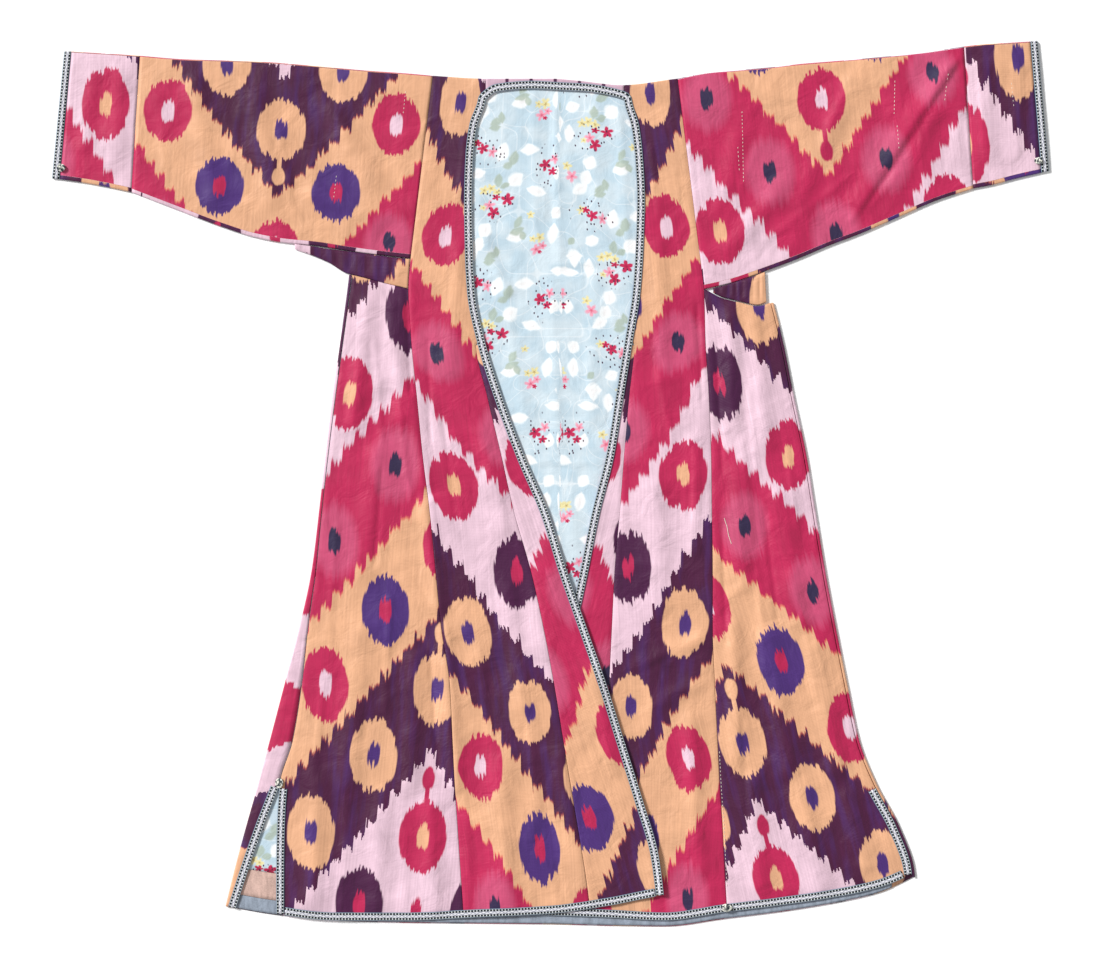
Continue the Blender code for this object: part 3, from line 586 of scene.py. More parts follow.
def hang(x, y):
    """Low uneven waves that run down cloth which has hung and been laid out."""
    bend = 0.9 * np.sin(y / 0.17 + 3 * x) + 0.5 * np.sin(y / 0.063 - 5 * x)
    waves = np.sin(x / 0.0067 + bend) * (0.6 + 0.4 * np.sin(y / 0.11 + 9 * x))
    waves += 0.7 * np.sin(x / 0.0113 - 1.4 * bend + 1.3)
    waves += 0.35 * np.sin((x + 0.7 * y) / 0.0089 + 1.7 * bend)
    return 0.20 * MM * (waves + 1.2)


def cloth_lift(x, y):
    return 1.3 * raised(x, y, FOLDS) + 1.3 * raised(x, y, CREASES) + 1.4 * hang(x, y)


def body_lift(x, y):
    """Folds of the body, which die out at its folded edges."""
    fade = smoothstep(0, SHOULDER_FADE, shoulder(x) - y)
    low = smoothstep(0, EDGE_FADE, x - skirt["front_left"](y))
    low *= smoothstep(0, EDGE_FADE, skirt["side_right"](y) - TURN_RIGHT - x)
    return cloth_lift(x, y) * fade * np.where(y < UNDERARM, low, 1.0)


def left_z(x, y):
    """Middle of the left front, which climbs over the right one below the crossing."""
    over = smoothstep(-85 * MM, -35 * MM, x - edge_right(y))
    over *= smoothstep(CROSSING, CROSSING - 70 * MM, y)
    return FRONT_Z + body_lift(x, y) + OVERLAP_RISE * over


def right_z(x, y):
    """Middle of the right front, which lies flat where the left one covers it."""
    clear = np.where(y < CROSSING, smoothstep(25 * MM, 65 * MM, x - edge_left(y)), 1.0)
    return FRONT_Z + body_lift(x, y) * clear


# Where each loom width lies: the line of its middle as (height, x), the heights at which the
# dyed bands cross that line as (band number, height) and, where the cloth is drawn in or
# stretched, how wide the columns of discs stand there as (height, spread).  The rise is how far
# the bands are pulled up 160 mm from that line, as (height, rise).
EVEN = ((600, 1.0), (-600, 1.0))
BAND_RISE = {
    "centre": ((600, 0), (354, 0), (240, 19), (187, 22), (135, 28), (64, 14), (-9, 5), (-129, 0),
               (-600, 0)),
    "side_left": ((600, 16), (-600, 16)),
    "side_right": ((600, 9), (-600, 9)),
}
LOOM = {
    "centre": (((565, 7), (354, 8), (187, 10), (-9, 26), (-129, 31), (-191, 35), (-320, 42),
                (-401, 49), (-583, 57)),
               ((-1, 521), (0, 332), (1, 146), (2, -19), (3, -224), (4, -408), (5, -609)),
               ((541, 0.84), (354, 0.985), (187, 1.08), (-9, 1.02), (-129, 0.97), (-191, 0.98),
                (-320, 0.88), (-401, 0.94), (-517, 0.86))),
    "side_left": (((355, -117), (150, -126), (60, -134), (-20, -141), (-177, -151),
                   (-284, -158), (-496, -179), (-590, -188)),
                  ((3, 331), (2, 123), (1, -88), (0, -286), (-1, -494), (-2, -702)),
                  ((600, 0.96), (150, 0.96), (60, 1.0), (-600, 1.0))),
    "side_right": (((327, 125), (240, 139), (142, 157), (42, 178), (-86, 197), (-156, 214),
                    (-255, 246), (-364, 269), (-555, 316)),
                   ((4, 421), (3, 230), (2, 17), (1, -169), (0, -362), (-1, -553)),
                   ((600, 0.96), (-600, 0.96))),
    "gore_left": (((210, -90), (28, -29), (-151, 31), (-353, 100), (-465, 138), (-535, 156)),
                  ((4, 210), (3, 28), (2, -151), (1, -349), (0, -535)), EVEN),
    "gore_right": (((217, 101), (35, 65), (-149, 23), (-583, -71)),
                   ((4, 217), (3, 35), (2, -151), (1, -349), (0, -535)), EVEN),
    "sleeve_left": (((593, -371), (327, -387)), ((-1, 670), (0, 494), (1, 329), (2, 157)),
                    ((593, 1.02), (327, 1.02))),
    "wrist_left": (((607, -778), (411, -782)), ((4, 959), (3, 763), (2, 556), (1, 350)), EVEN),
    "sleeve_right": (((593, 373), (537, 379), (418, 391), (351, 400), (257, 409)),
                     ((0, 712), (1, 539), (2, 350), (3, 168)), ((593, 1.01), (327, 1.03))),
    "wrist_right": (((621, 573), (425, 584)), ((4, 717), (3, 472), (2, 264)), EVEN),
    "gusset_left": (((340, -403), (270, -403)), ((-1, 349), (0, 160)), EVEN),
    "gusset_right": (((340, 312), (240, 312)), ((-1, 451), (0, 262)), EVEN),
}


def straight_lines(points, at):
    """Value at each place on straight lines through (key, value) points, and its slope."""
    rows = np.array(sorted(points), float)
    slopes = np.diff(rows[:, 1]) / np.diff(rows[:, 0])
    i = np.clip(np.searchsorted(rows[:, 0], at, side="right") - 1, 0, len(slopes) - 1)
    return rows[i, 1] + (at - rows[i, 0]) * slopes[i], slopes[i]


def weave_map(loom, x, y):
    """Distance across the loom and along the warp, for points of a panel cut from it."""
    middle, bands, spread = LOOM[loom]
    line, _ = straight_lines(middle, y / MM)
    (low_y, low_x), (high_y, high_x) = min(middle), max(middle)
    lean = (high_x - low_x) / (high_y - low_y)
    aside = x - line * MM
    height = y + aside * lean / (1 + lean ** 2)
    if loom in BAND_RISE:
        rise, _ = straight_lines(BAND_RISE[loom], np.clip(y / MM, -600, 600))
        height = height - rise * MM * (aside / 0.16) ** 2
    number, _ = straight_lines([(at, n) for n, at in bands], height / MM)
    stretch, _ = straight_lines(spread, np.clip(y / MM, min(spread)[0], max(spread)[0]))
    return aside / math.sqrt(1 + lean ** 2) / stretch, number * REPEAT


def panel_points(line_a, line_b, top, lower, height, columns=None, rows=None):
    """Grid of middle points between two side lines and a top and a lower edge."""
    y_high = float(np.max(top(np.array([line_a(0.3), line_b(0.3)]))))
    y_low = float(np.min(lower(np.array([line_a(-0.5), line_b(-0.5)]))))
    rows = rows or int((y_high - y_low) / GRID) + 1
    levels = np.linspace(y_high, y_low, 60)
    widest = float(np.max(line_b(levels) - line_a(levels)))
    columns = columns or max(int(widest / GRID * 1.15) + 1, 6)
    even = np.linspace(0, 1, columns)
    eased = mix(even, 0.5 - 0.5 * np.cos(math.pi * even), 0.55)
    share, fall = np.meshgrid(eased, np.linspace(0, 1, rows))
    x = mix(line_a(np.full_like(share, 0.0)), line_b(np.full_like(share, 0.0)), share)
    for _ in range(12):
        y = mix(top(x), lower(x), fall)
        x = mix(line_a(y), line_b(y), share)
    return np.dstack((x, y, height(x, y)))


def shifted(line, distance):
    return lambda y: line(y) + distance


def roll_seams(points, sides=(True, True)):
    """Draws a panel's sewn edges down a little, as a pressed seam does."""
    x = points[:, :, 0]
    for sewn, edge in zip(sides, (x[:, :1], x[:, -1:])):
        if sewn:
            points[:, :, 2] -= 0.7 * MM * np.exp(-((x - edge) / (2.6 * MM)) ** 2)
    return points


def fold_over_shoulder(points):
    """Carries a front panel over the shoulder fold and under its back edge."""
    first = points[0]
    rows = []
    for y_add, z in [(-FOLD_TAIL, BACK_Z)] + [
            (FOLD_RADIUS * math.sin(a), FOLD_Z - FOLD_RADIUS * math.cos(a))
            for a in np.linspace(0, math.pi, 8)[:-1]]:
        row = first.copy()
        row[:, 1] += y_add
        row[:, 2] = z
        rows.append(row)
    return np.concatenate((np.array(rows), points))


def cloth_mesh(name, points, flat, wall, material, ring=False):
    """A sheet about a grid of middle points, with its flat position as the UV map."""
    rows, columns = points.shape[:2]
    numbers = np.arange(rows * columns).reshape(rows, columns)
    right = np.roll(numbers, -1, axis=1) if ring else numbers[:, 1:]
    left = numbers if ring else numbers[:, :-1]
    quads = np.stack((left[:-1], left[1:], right[1:], right[:-1]), axis=-1).reshape(-1, 4)
    mesh = bpy.data.meshes.new(name)
    mesh.from_pydata(points.reshape(-1, 3).tolist(), [], quads.tolist())
    layer = mesh.uv_layers.new(name="weave")
    flat_points = np.dstack(flat).reshape(-1, 2)
    layer.data.foreach_set("uv", flat_points[quads.reshape(-1)].ravel())
    mesh.shade_smooth()
    mesh.materials.append(material)
    piece = bpy.data.objects.new(name, mesh)
    bpy.context.scene.collection.objects.link(piece)
    if wall:
        solidify = piece.modifiers.new("cloth_thickness", "SOLIDIFY")
        solidify.thickness = wall
        solidify.offset = 0.0
    return piece


def dress(piece, node):
    """The piece stands for a CAD node, whose part it hides, and lies with the robe."""
    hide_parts(node)
    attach(piece, "root")
    return piece


def below_shoulder(x):
    return shoulder(x) - FOLD_RADIUS


def inner_left(y):
    share = smoothstep(GORE_TOP * MM, GORE_START * MM, y)
    return mix(skirt["gore_left"](y) - SEAM, edge_left(y), share)


def inner_right(y):
    share = smoothstep(GORE_TOP * MM, GORE_START * MM, y)
    return mix(skirt["gore_right"](y) + SEAM, edge_right(y), share)


def gore_top(x):
    return np.full_like(x, GORE_TOP * MM)


FRONT_PANELS = (
    ("front_left_center", "centre", seam_left, SEAM, inner_left, 0.0, below_shoulder, "left",
     left_z, (0.20, 1.19), 0.176),
    ("front_left_gore", "gore_left", skirt["gore_left"], SEAM, edge_left, 0.0, gore_top, "left",
     left_z, (0.12, 0.80), 0.056),
    ("front_left_side", "side_left", skirt["front_left"], SEAM, seam_left, -SEAM,
     lambda x: side_top_left(x) - GAP, "left", left_z, (0.27, 0.90), 0.160),
    ("front_right_center", "centre", inner_right, 0.0, seam_right, -SEAM, below_shoulder, "right",
     right_z, (0.19, 1.18), 0.146),
    ("front_right_gore", "gore_right", edge_right, 0.0, skirt["gore_right"], -SEAM, gore_top,
     "right", right_z, (0.13, 0.80), 0.055),
    ("front_right_side", "side_right", seam_right, SEAM, skirt["side_right"], -TURN_RIGHT - SEAM,
     lambda x: side_top_right(x) - GAP, "right", right_z, (0.27, 0.86), 0.152),
)
front_cloths = {}
for (node, loom, line_a, shift_a, line_b, shift_b, top, hem_name, height, cut,
     area) in FRONT_PANELS:
    points = panel_points(shifted(line_a, shift_a), shifted(line_b, shift_b), top, hem[hem_name],
                          height)
    points = roll_seams(points, (node not in ("front_right_gore",),
                                 node not in ("front_left_gore",)))
    if top is below_shoulder:
        points = fold_over_shoulder(points)
    flat = weave_map(loom, points[:, :, 0], points[:, :, 1])
    piece = cloth_mesh(node + "_cloth", points, flat, CLOTH_SHEET, adras)
    dress(piece, node)
    front_cloths[node] = piece

# Neck strip: a narrow strip of lilac ikat with short dark dashes, folded over at the back of the
# neck like the shoulders and caught under the tape.
NECK_DASHES = 0.0338
NECK_FIRST_DASH = -0.0610
NECK_LILAC = "#CBA9BA"
neck_ikat, neck_tree = new_material("adras_lilac_with_dashes", NECK_LILAC, 0.6, 0.12, 0.35)
across, along = weave_place(neck_tree)
dash = add_node(neck_tree, "Math SUBTRACT", across, NECK_FIRST_DASH)
dash = add_node(neck_tree, "Math PINGPONG", dash, NECK_DASHES / 2)
dash = add_node(neck_tree, "Math ADD", dash, thread_slip(neck_tree, along, 1.0, 0.0012))
dash = add_node(neck_tree, "MapRange", dash, 0.0018, 0.0030, 1.0, 0.0)
neck_colour = add_node(neck_tree, "Mix", dash, linear(NECK_LILAC), linear(WINE), data_type="RGBA")
neck_colour = warp_streaks(neck_tree, across, along, neck_colour, 0.84, 1.08)
neck_tree.links.new(neck_colour.outputs[0],
                    neck_tree.nodes["Principled BSDF"].inputs["Base Color"])
woven_relief(neck_tree, across, along, 0.0019, 0.0010)
neck_start = float(edge_left(NECK_CORNER)) + GAP
neck_end = float(edge_right(NECK_CORNER)) - GAP
stations = np.linspace(neck_start, neck_end, 60)
share, fall = np.meshgrid(stations, np.linspace(0, 1, 8))
points = np.dstack((share, mix(below_shoulder(share), neck(share), fall),
                    np.full_like(share, FRONT_Z)))
points = fold_over_shoulder(points)
neck_piece = cloth_mesh("neck_strip_cloth", points, (points[:, :, 0], points[:, :, 1]),
                        CLOTH_SHEET, neck_ikat)
dress(neck_piece, "neck_strip")

# Sleeves: each is one loom width of ikat with a shorter wrist length sewn on, folded along its
# top and seamed underneath, so that it lies as a flat tube.
SLEEVES = {
    "sleeve_left_upper": (
        (-165, 571, -196, 316),
        (-210, 575, -240, 321),
        (-255, 578, -285, 327),
        (-300, 582, -330, 334),
        (-345, 586, -372, 338),
        (-395, 590, -415, 346),
        (-445, 592, -462, 361),
        (-510, 594, -525, 385),
        (-575, 599, -587, 409),
    ),
    "sleeve_left_wrist": (
        (-575, 599, -587, 409),
        (-605, 601, -615, 415),
        (-640, 603, -652, 422),
        (-671, 605, -687, 427),
    ),
    "band_cuff_left": (
        (-671, 605, -687, 427),
        (-681, 605, -698, 428),
    ),
    "sleeve_right_upper": (
        (178, 567, 215, 273),
        (220, 575, 250, 281),
        (265, 579, 300, 298),
        (310, 583, 345, 315),
        (355, 588, 390, 334),
        (405, 592, 432, 350),
        (460, 597, 485, 373),
        (520, 603, 540, 397),
        (579, 612, 592, 414),
    ),
    "sleeve_right_wrist": (
        (579, 612, 592, 414),
        (605, 615, 618, 419),
        (640, 617, 652, 428),
        (672, 619, 687, 436),
    ),
    "band_cuff_right": (
        (672, 619, 687, 436),
        (682, 620, 698, 438),
    ),
}


def sleeve_points(name, direction, lift=cloth_lift):
    """A length of flattened tube: rings with a flat upper and lower side and round edges."""
    sections = SLEEVES[name]
    curves = [smooth_curve([(number, row[i]) for number, row in enumerate(sections)])
              for i in range(4)]
    length = abs(sections[-1][0] - sections[0][0]) * MM
    keys = np.linspace(0, len(sections) - 1, max(int(length / GRID), 3) + 1) * MM
    top_x, top_y, low_x, low_y = (curve(keys) for curve in curves)
    shift = np.zeros_like(keys)
    shift[0] = direction * SEAM
    shift[-1] = -direction * SEAM
    run_x = low_x - top_x
    run_y = low_y - top_y
    across = np.hypot(run_x, run_y)
    cells = int(across.max() / GRID)
    rounds = np.linspace(0, math.pi, 6)[1:-1]
    distance = []
    height = []
    upper = []
    for share in np.append(np.linspace(0, 1 - 1 / cells, cells), (1 - 0.92 / cells, 1.0)):
        distance.append(mix(FOLD_RADIUS, across - FOLD_RADIUS, share))
        height.append(np.full_like(keys, FRONT_Z))
        upper.append(1.0)
    for angle in rounds:
        distance.append(across - FOLD_RADIUS + FOLD_RADIUS * math.sin(angle))
        height.append(np.full_like(keys, FOLD_Z + FOLD_RADIUS * math.cos(angle)))
        upper.append(0.0)
    for share in np.linspace(1, 0, cells // 3 + 1):
        distance.append(mix(FOLD_RADIUS, across - FOLD_RADIUS, share))
        height.append(np.full_like(keys, BACK_Z))
        upper.append(0.0)
    for angle in rounds:
        distance.append(np.full_like(keys, FOLD_RADIUS - FOLD_RADIUS * math.sin(angle)))
        height.append(np.full_like(keys, FOLD_Z - FOLD_RADIUS * math.cos(angle)))
        upper.append(0.0)
    distance = np.array(distance).T
    height = np.array(height).T
    across = across[:, None]
    x = (top_x + shift)[:, None] + run_x[:, None] / across * distance
    y = top_y[:, None] + run_y[:, None] / across * distance
    fade = smoothstep(0, EDGE_FADE, distance) * smoothstep(0, EDGE_FADE, across - distance)
    height += lift(x, y) * fade * np.array(upper)[None, :]
    return np.dstack((x, y, height))


# The cloth on the underside of a sleeve is another stretch of the warp, so its dyed bands, which
# show as slivers along the lower edge, don't meet those of the upper side.
UNDERSIDE_SLIP = 1.6 * REPEAT
SLEEVE_CLOTHS = (
    ("sleeve_left_upper", "sleeve_left", -1, (0.41, 0.51), 0.190),
    ("sleeve_left_wrist", "wrist_left", -1, (0.11, 0.38), 0.037),
    ("sleeve_right_upper", "sleeve_right", 1, (0.41, 0.59), 0.196),
    ("sleeve_right_wrist", "wrist_right", 1, (0.11, 0.40), 0.037),
)
for node, loom, direction, cut, area in SLEEVE_CLOTHS:
    points = sleeve_points(node, direction)
    for row in (0, -1):
        points[row, :, 2] += np.where(points[row, :, 2] > FRONT_Z - 0.1 * MM, -0.5 * MM, 0.0)
    flat = weave_map(loom, points[:, :, 0], points[:, :, 1])
    underside = int(np.argmax(points[5, :, 2] < FRONT_Z - 0.05 * MM)) - 2
    flat[1][:, underside:] += UNDERSIDE_SLIP
    if direction < 0:
        points = points[:, ::-1]
        flat = tuple(part[:, ::-1] for part in flat)
    piece = cloth_mesh(node + "_cloth", points, flat, CLOTH_SHEET, adras, ring=True)
    dress(piece, node)

# Underarm gussets: a small square of ikat at each underarm, folded in two along its lower edge
# and gathered a little where the sleeve and the side panel meet it.
GUSSETS = {
    "gusset_left": (
        (-358, 337, -358, 328),
        (-335, 334, -335, 320),
        (-310, 330, -310, 309),
        (-285, 327, -287, 295),
        (-262, 324, -264, 289),
        (-240, 321, -243, 283),
        (-219, 318, -222, 278),
        (-197, 316, -200, 273),
    ),
    "gusset_right": (
        (228, 275, 228, 267),
        (241, 278, 241, 261),
        (253, 282, 253, 258),
        (265, 286, 265, 255),
        (278, 290, 278, 252),
        (290, 294, 290, 250),
        (300, 298, 302, 254),
    ),
}
for node, sections in GUSSETS.items():
    count = len(sections)
    curves = [smooth_curve([(number, row[i]) for number, row in enumerate(sections)])
              for i in range(4)]
    keys = np.linspace(0, count - 1, 60) * MM
    top_x, top_y, low_x, low_y = (curve(keys) for curve in curves)
    top_y = top_y - (CLOTH / 2 + SIDE_GAP)
    low_y = low_y + (CLOTH / 2 + GAP + FOLD_RADIUS)
    gathers = 0.5 * MM * (1 + np.sin(keys / MM * 7.0 + np.sin(keys / MM * 2.3)))
    columns = []
    for share in np.linspace(0, 1, 9):
        lift = gathers * math.sin(math.pi * share) ** 0.5
        columns.append(np.stack((mix(top_x, low_x, share), mix(top_y, low_y, share),
                                 FRONT_Z + lift), axis=-1))
    for angle in np.linspace(0, math.pi, 6)[1:-1]:
        columns.append(np.stack((low_x, low_y - FOLD_RADIUS * math.sin(angle),
                                 np.full_like(keys, FOLD_Z + FOLD_RADIUS * math.cos(angle))),
                                axis=-1))
    for share in np.linspace(1, 0, 4):
        columns.append(np.stack((mix(top_x, low_x, share), mix(top_y, low_y, share),
                                 np.full_like(keys, BACK_Z)), axis=-1))
    points = np.stack(columns, axis=1)
    flat = weave_map(node, points[:, :, 0], points[:, :, 1])
    piece = cloth_mesh(node + "_cloth", points, flat, CLOTH_SHEET, adras)
    dress(piece, node)

# Back of the robe: one loom width down the middle and a flared panel at each side, which turn
# up round the side edges and lie over the fronts as a narrow strip.  The left strip shows other
# colours than the panel beside it: it lies this far (m) from the middle of its loom width, and
# the dyed bands cross it at these places, as (height, band number).
STRIP_ACROSS = 0.240
STRIP_BANDS = ((320, 4.2), (215, 4.0), (195, 3.6), (10, 3.2), (-10, 2.4), (-160, 2.3),
               (-240, 3.05), (-331, 2), (-390, 3), (-454, 4), (-541, 5), (-620, 5.6))


def turn_edge(points, direction, turn):
    """Carries a back panel round its side edge and back over the front, as far as turn(y)."""
    edge = points[:, -1]
    columns = [points]
    for angle in np.linspace(0, math.pi, 6)[1:]:
        column = edge.copy()
        column[:, 0] += direction * FOLD_RADIUS * math.sin(angle)
        column[:, 2] = FOLD_Z - FOLD_RADIUS * math.cos(angle)
        columns.append(column[:, None])
    for share in (0.35, 0.7, 1.0):
        column = edge.copy()
        column[:, 0] = mix(edge[:, 0], turn(edge[:, 1]), share)
        column[:, 2] = FRONT_Z
        columns.append(column[:, None])
    return np.concatenate(columns, axis=1)


def turn_left(y):
    return np.minimum(skirt["turn_left"](y), skirt["front_left"](y) - SIDE_GAP)


def flat_back(x, y):
    return np.full_like(x, BACK_Z)


middle_back = panel_points(shifted(seam_left, SEAM), shifted(seam_right, -SEAM),
                           lambda x: below_shoulder(x) - FOLD_TAIL - 2 * MM, hem["back"],
                           flat_back, columns=54, rows=150)
left_back = panel_points(shifted(seam_left, -SEAM), shifted(skirt["side_left"], FOLD_RADIUS),
                         lambda x: side_top_left(x) - SIDE_GAP, hem["back"], flat_back,
                         columns=28, rows=180)
left_back = turn_edge(left_back, -1, turn_left)
right_back = panel_points(shifted(seam_right, SEAM), shifted(skirt["side_right"], -FOLD_RADIUS),
                          lambda x: side_top_right(x) - 2 * SIDE_GAP, hem["back"], flat_back,
                          columns=28, rows=120)
right_back = turn_edge(right_back, 1, shifted(skirt["side_right"], SIDE_GAP - TURN_RIGHT))
for node, points, loom, cut, area in (
        ("back_center", middle_back, "centre", (0.39, 1.18), 0.455),
        ("back_side_left", left_back[:, ::-1], "side_left", (0.36, 0.90), 0.215),
        ("back_side_right", right_back, "side_right", (0.29, 0.86), 0.160)):
    flat = weave_map(loom, points[:, :, 0], points[:, :, 1])
    if node == "back_side_left":
        turned = points[:, :, 2] > FOLD_Z
        number, _ = straight_lines(STRIP_BANDS, points[:, :, 1] / MM)
        strip_along = number * REPEAT + BAND_SHIFT - STRIP_ACROSS * (
            BAND_BEND * STRIP_ACROSS + BAND_SLOPE)
        strip_across = STRIP_ACROSS + points[:, :, 0] - turn_left(points[:, :, 1])
        flat = (np.where(turned, strip_across, flat[0]), np.where(turned, strip_along, flat[1]))
    piece = cloth_mesh(node + "_cloth", points, flat, CLOTH_SHEET, adras)
    dress(piece, node)

# Lining: pale-blue cotton printed with white leaves on fine vines and small sprays of crimson,
# pink and yellow blossom with dark buds; it is matt, and creased where the robe was folded away.
SKY = "#BDD2DE"
LEAF_WHITE = "#F3F6F7"
SAGE = "#A9B7A6"
YELLOW = "#E9DDA2"
BLOSSOM = "#C42F58"
ROSE = "#EE9DB2"
BUD = "#4A3245"
PRINT_STEP = 0.160
PRINT_DROP = 0.188

# The print's repeat, charted in millimetres: x, y, length, width, turn of each printed form.
WHITE_LEAVES = (
    (-47, 468, 26, 13, 5), (-85, 464, 27, 15, 70), (-65, 426, 23, 17, 40), (-35, 410, 26, 12, -15),
    (32, 490, 25, 12, 80), (55, 449, 21, 16, 60), (36, 413, 24, 13, 30), (98, 440, 25, 14, 12),
    (13, 503, 22, 11, 85), (-5, 380, 18, 14, 50), (-10, 351, 27, 13, 80), (14, 319, 22, 15, 0),
    (3, 297, 27, 11, -8), (-5, 436, 20, 12, 75), (-114, 522, 22, 14, 60), (42, 340, 20, 13, 20))
SAGE_LEAVES = (
    (-95, 507, 20, 9, 30), (-88, 513, 15, 8, 100), (-69, 455, 22, 11, 70), (-76, 446, 16, 9, 20),
    (-60, 354, 20, 9, 20), (-52, 348, 14, 8, 110), (71, 519, 18, 10, 80), (80, 512, 14, 8, 20),
    (63, 405, 16, 9, 10), (101, 460, 18, 9, 60), (13, 340, 12, 7, 45))
YELLOW_BLOSSOMS = (
    (52, 505, 12, 11, 10), (61, 507, 12, 11, 40), (70, 503, 10, 10, 70), (22, 445, 12, 10, 0),
    (33, 384, 11, 9, 25), (-28, 533, 13, 11, 50), (-37, 531, 9, 9, 5), (-42, 377, 9, 9, 20),
    (51, 481, 8, 7, 0))
ROSE_BLOSSOMS = (
    (60, 484, 13, 12, 15), (27, 431, 15, 13, 50), (61, 371, 13, 10, 80), (-32, 516, 14, 12, 30),
    (-24, 522, 10, 9, 0), (-11, 455, 12, 10, 60))
CRIMSON_BLOSSOMS = (
    (85, 492, 16, 14, 20), (66, 474, 15, 13, 55), (69, 495, 10, 8, 0), (48, 376, 14, 12, 35),
    (40, 383, 9, 8, 10), (-24, 447, 15, 13, 45), (-14, 438, 11, 9, 15), (-27, 512, 6, 5, 0))
BUD_SPRAYS = (
    (64, 484, 66, 44, 10), (46, 373, 68, 50, -15), (-20, 446, 44, 62, 0))
lining_print, lining_tree = new_material("printed_cotton_sprays", SKY, 0.85, 0.05, 0.2)
across, along = weave_place(lining_tree)


def print_cell(tree):
    """Place in the print counted in repeats: across it, and up it with its half drop."""
    step = add_node(tree, "Math DIVIDE", across, PRINT_STEP)
    rise = add_node(tree, "Math MULTIPLY_ADD", step, 0.5,
                    add_node(tree, "Math DIVIDE", along, PRINT_DROP))
    place = add_node(tree, "CombineXYZ", across, along)
    waver = add_node(tree, "TexNoise", named={"Vector": place, "Scale": 95.0, "Detail": 2.0})
    waver = add_node(tree, "VectorMath SUBTRACT", waver.outputs["Color"], (0.5, 0.5, 0.5))
    waver = add_node(tree, "VectorMath SCALE", waver, named={"Scale": 0.026})
    return add_node(tree, "VectorMath ADD", add_node(tree, "CombineXYZ", step, rise), waver)


def printed_forms(tree, cell, forms, petals=0):
    """How far each place is from the nearest of some forms: 1 at a form's edge, less inside."""
    nearest = None
    for x, y, length, width, turn in forms:
        step = x * MM / PRINT_STEP
        at = (step - 0.5, y * MM / PRINT_DROP + step / 2 - 0.5, 0.0)
        local = add_node(tree, "VectorMath FRACTION",
                         add_node(tree, "VectorMath SUBTRACT", cell, at))
        local = add_node(tree, "VectorMath SUBTRACT", local, (0.5, 0.5, 0.0))
        parts = []
        for size, angle in ((length, turn), (width, turn + 90)):
            run = math.cos(math.radians(angle)) * 2 / (size * MM)
            rise = math.sin(math.radians(angle)) * 2 / (size * MM)
            gauge = (run * PRINT_STEP - rise * PRINT_DROP / 2, rise * PRINT_DROP, 0.0)
            parts.append(add_node(tree, "VectorMath DOT_PRODUCT", local, gauge).outputs["Value"])
        u, v = parts
        if petals:
            place = add_node(tree, "CombineXYZ", u, v)
            reach = add_node(tree, "VectorMath LENGTH", place).outputs["Value"]
            angle = add_node(tree, "Math MULTIPLY", add_node(tree, "Math ARCTAN2", v, u),
                             petals / 2)
            lobe = add_node(tree, "Math ABSOLUTE", add_node(tree, "Math COSINE", angle))
            edge = add_node(tree, "Math MULTIPLY_ADD", lobe, 0.72, 0.52)
            away = add_node(tree, "Math DIVIDE", reach, edge)
        else:
            away = add_node(tree, "Math MULTIPLY_ADD", u, u, add_node(tree, "Math ABSOLUTE", v))
            away = add_node(tree, "Math MULTIPLY", away, 0.84)
        nearest = away if nearest is None else add_node(tree, "Math MINIMUM", nearest, away)
    return nearest


def print_on(tree, ground, away, hex_colour, low=0.88, high=1.12, strength=1.0):
    """One printed colour laid over the ground, inside the edge of its forms."""
    mask = add_node(tree, "MapRange", away, low, high, strength, 0.0)
    return add_node(tree, "Mix", mask, ground, linear(hex_colour), data_type="RGBA")


cell = print_cell(lining_tree)
place = add_node(lining_tree, "CombineXYZ", across, along)
ground = add_node(lining_tree, "RGB")
ground.outputs[0].default_value = linear(SKY)
clouds = add_node(lining_tree, "TexNoise", named={"Vector": place, "Scale": 26.0, "Detail": 3.0})
ground = print_on(lining_tree, ground, clouds.outputs[0], "#D3E0E7", 0.40, 0.60, 0.8)
for scale in (17.0, 23.0):
    vines = add_node(lining_tree, "TexNoise", named={"Vector": place, "Scale": scale,
                                                     "Detail": 0.0})
    vine = add_node(lining_tree, "Math SUBTRACT", vines.outputs[0], 0.5)
    ground = print_on(lining_tree, ground, add_node(lining_tree, "Math ABSOLUTE", vine),
                      LEAF_WHITE, 0.003, 0.010, 0.34)
leaves = printed_forms(lining_tree, cell, WHITE_LEAVES)
ground = print_on(lining_tree, ground, leaves, LEAF_WHITE, 0.75, 1.2)
ground = print_on(lining_tree, ground, leaves, "#E9DEDC", 0.1, 0.5, 0.35)
sage = printed_forms(lining_tree, cell, SAGE_LEAVES)
ground = print_on(lining_tree, ground, sage, SAGE, 0.7, 1.25, 0.8)
yellow = printed_forms(lining_tree, cell, YELLOW_BLOSSOMS, 5)
ground = print_on(lining_tree, ground, yellow, YELLOW, 0.8, 1.2, 0.95)
ground = print_on(lining_tree, ground, yellow, "#B59B5E", 0.15, 0.45, 0.8)
rose = printed_forms(lining_tree, cell, ROSE_BLOSSOMS, 5)
ground = print_on(lining_tree, ground, rose, ROSE, 0.8, 1.2, 0.95)
ground = print_on(lining_tree, ground, rose, "#D4526F", 0.15, 0.5, 0.8)
crimson = printed_forms(lining_tree, cell, CRIMSON_BLOSSOMS, 5)
ground = print_on(lining_tree, ground, crimson, BLOSSOM, 0.88, 1.12)
ground = print_on(lining_tree, ground, crimson, "#94203F", 0.1, 0.4, 0.7)
stretched = add_node(lining_tree, "VectorMath MULTIPLY", place, (190.0, 130.0, 0.0))
buds = add_node(lining_tree, "TexVoronoi", named={"Vector": stretched, "Scale": 1.0},
                voronoi_dimensions="2D")
chance = add_node(lining_tree, "SeparateColor", buds.outputs["Color"])
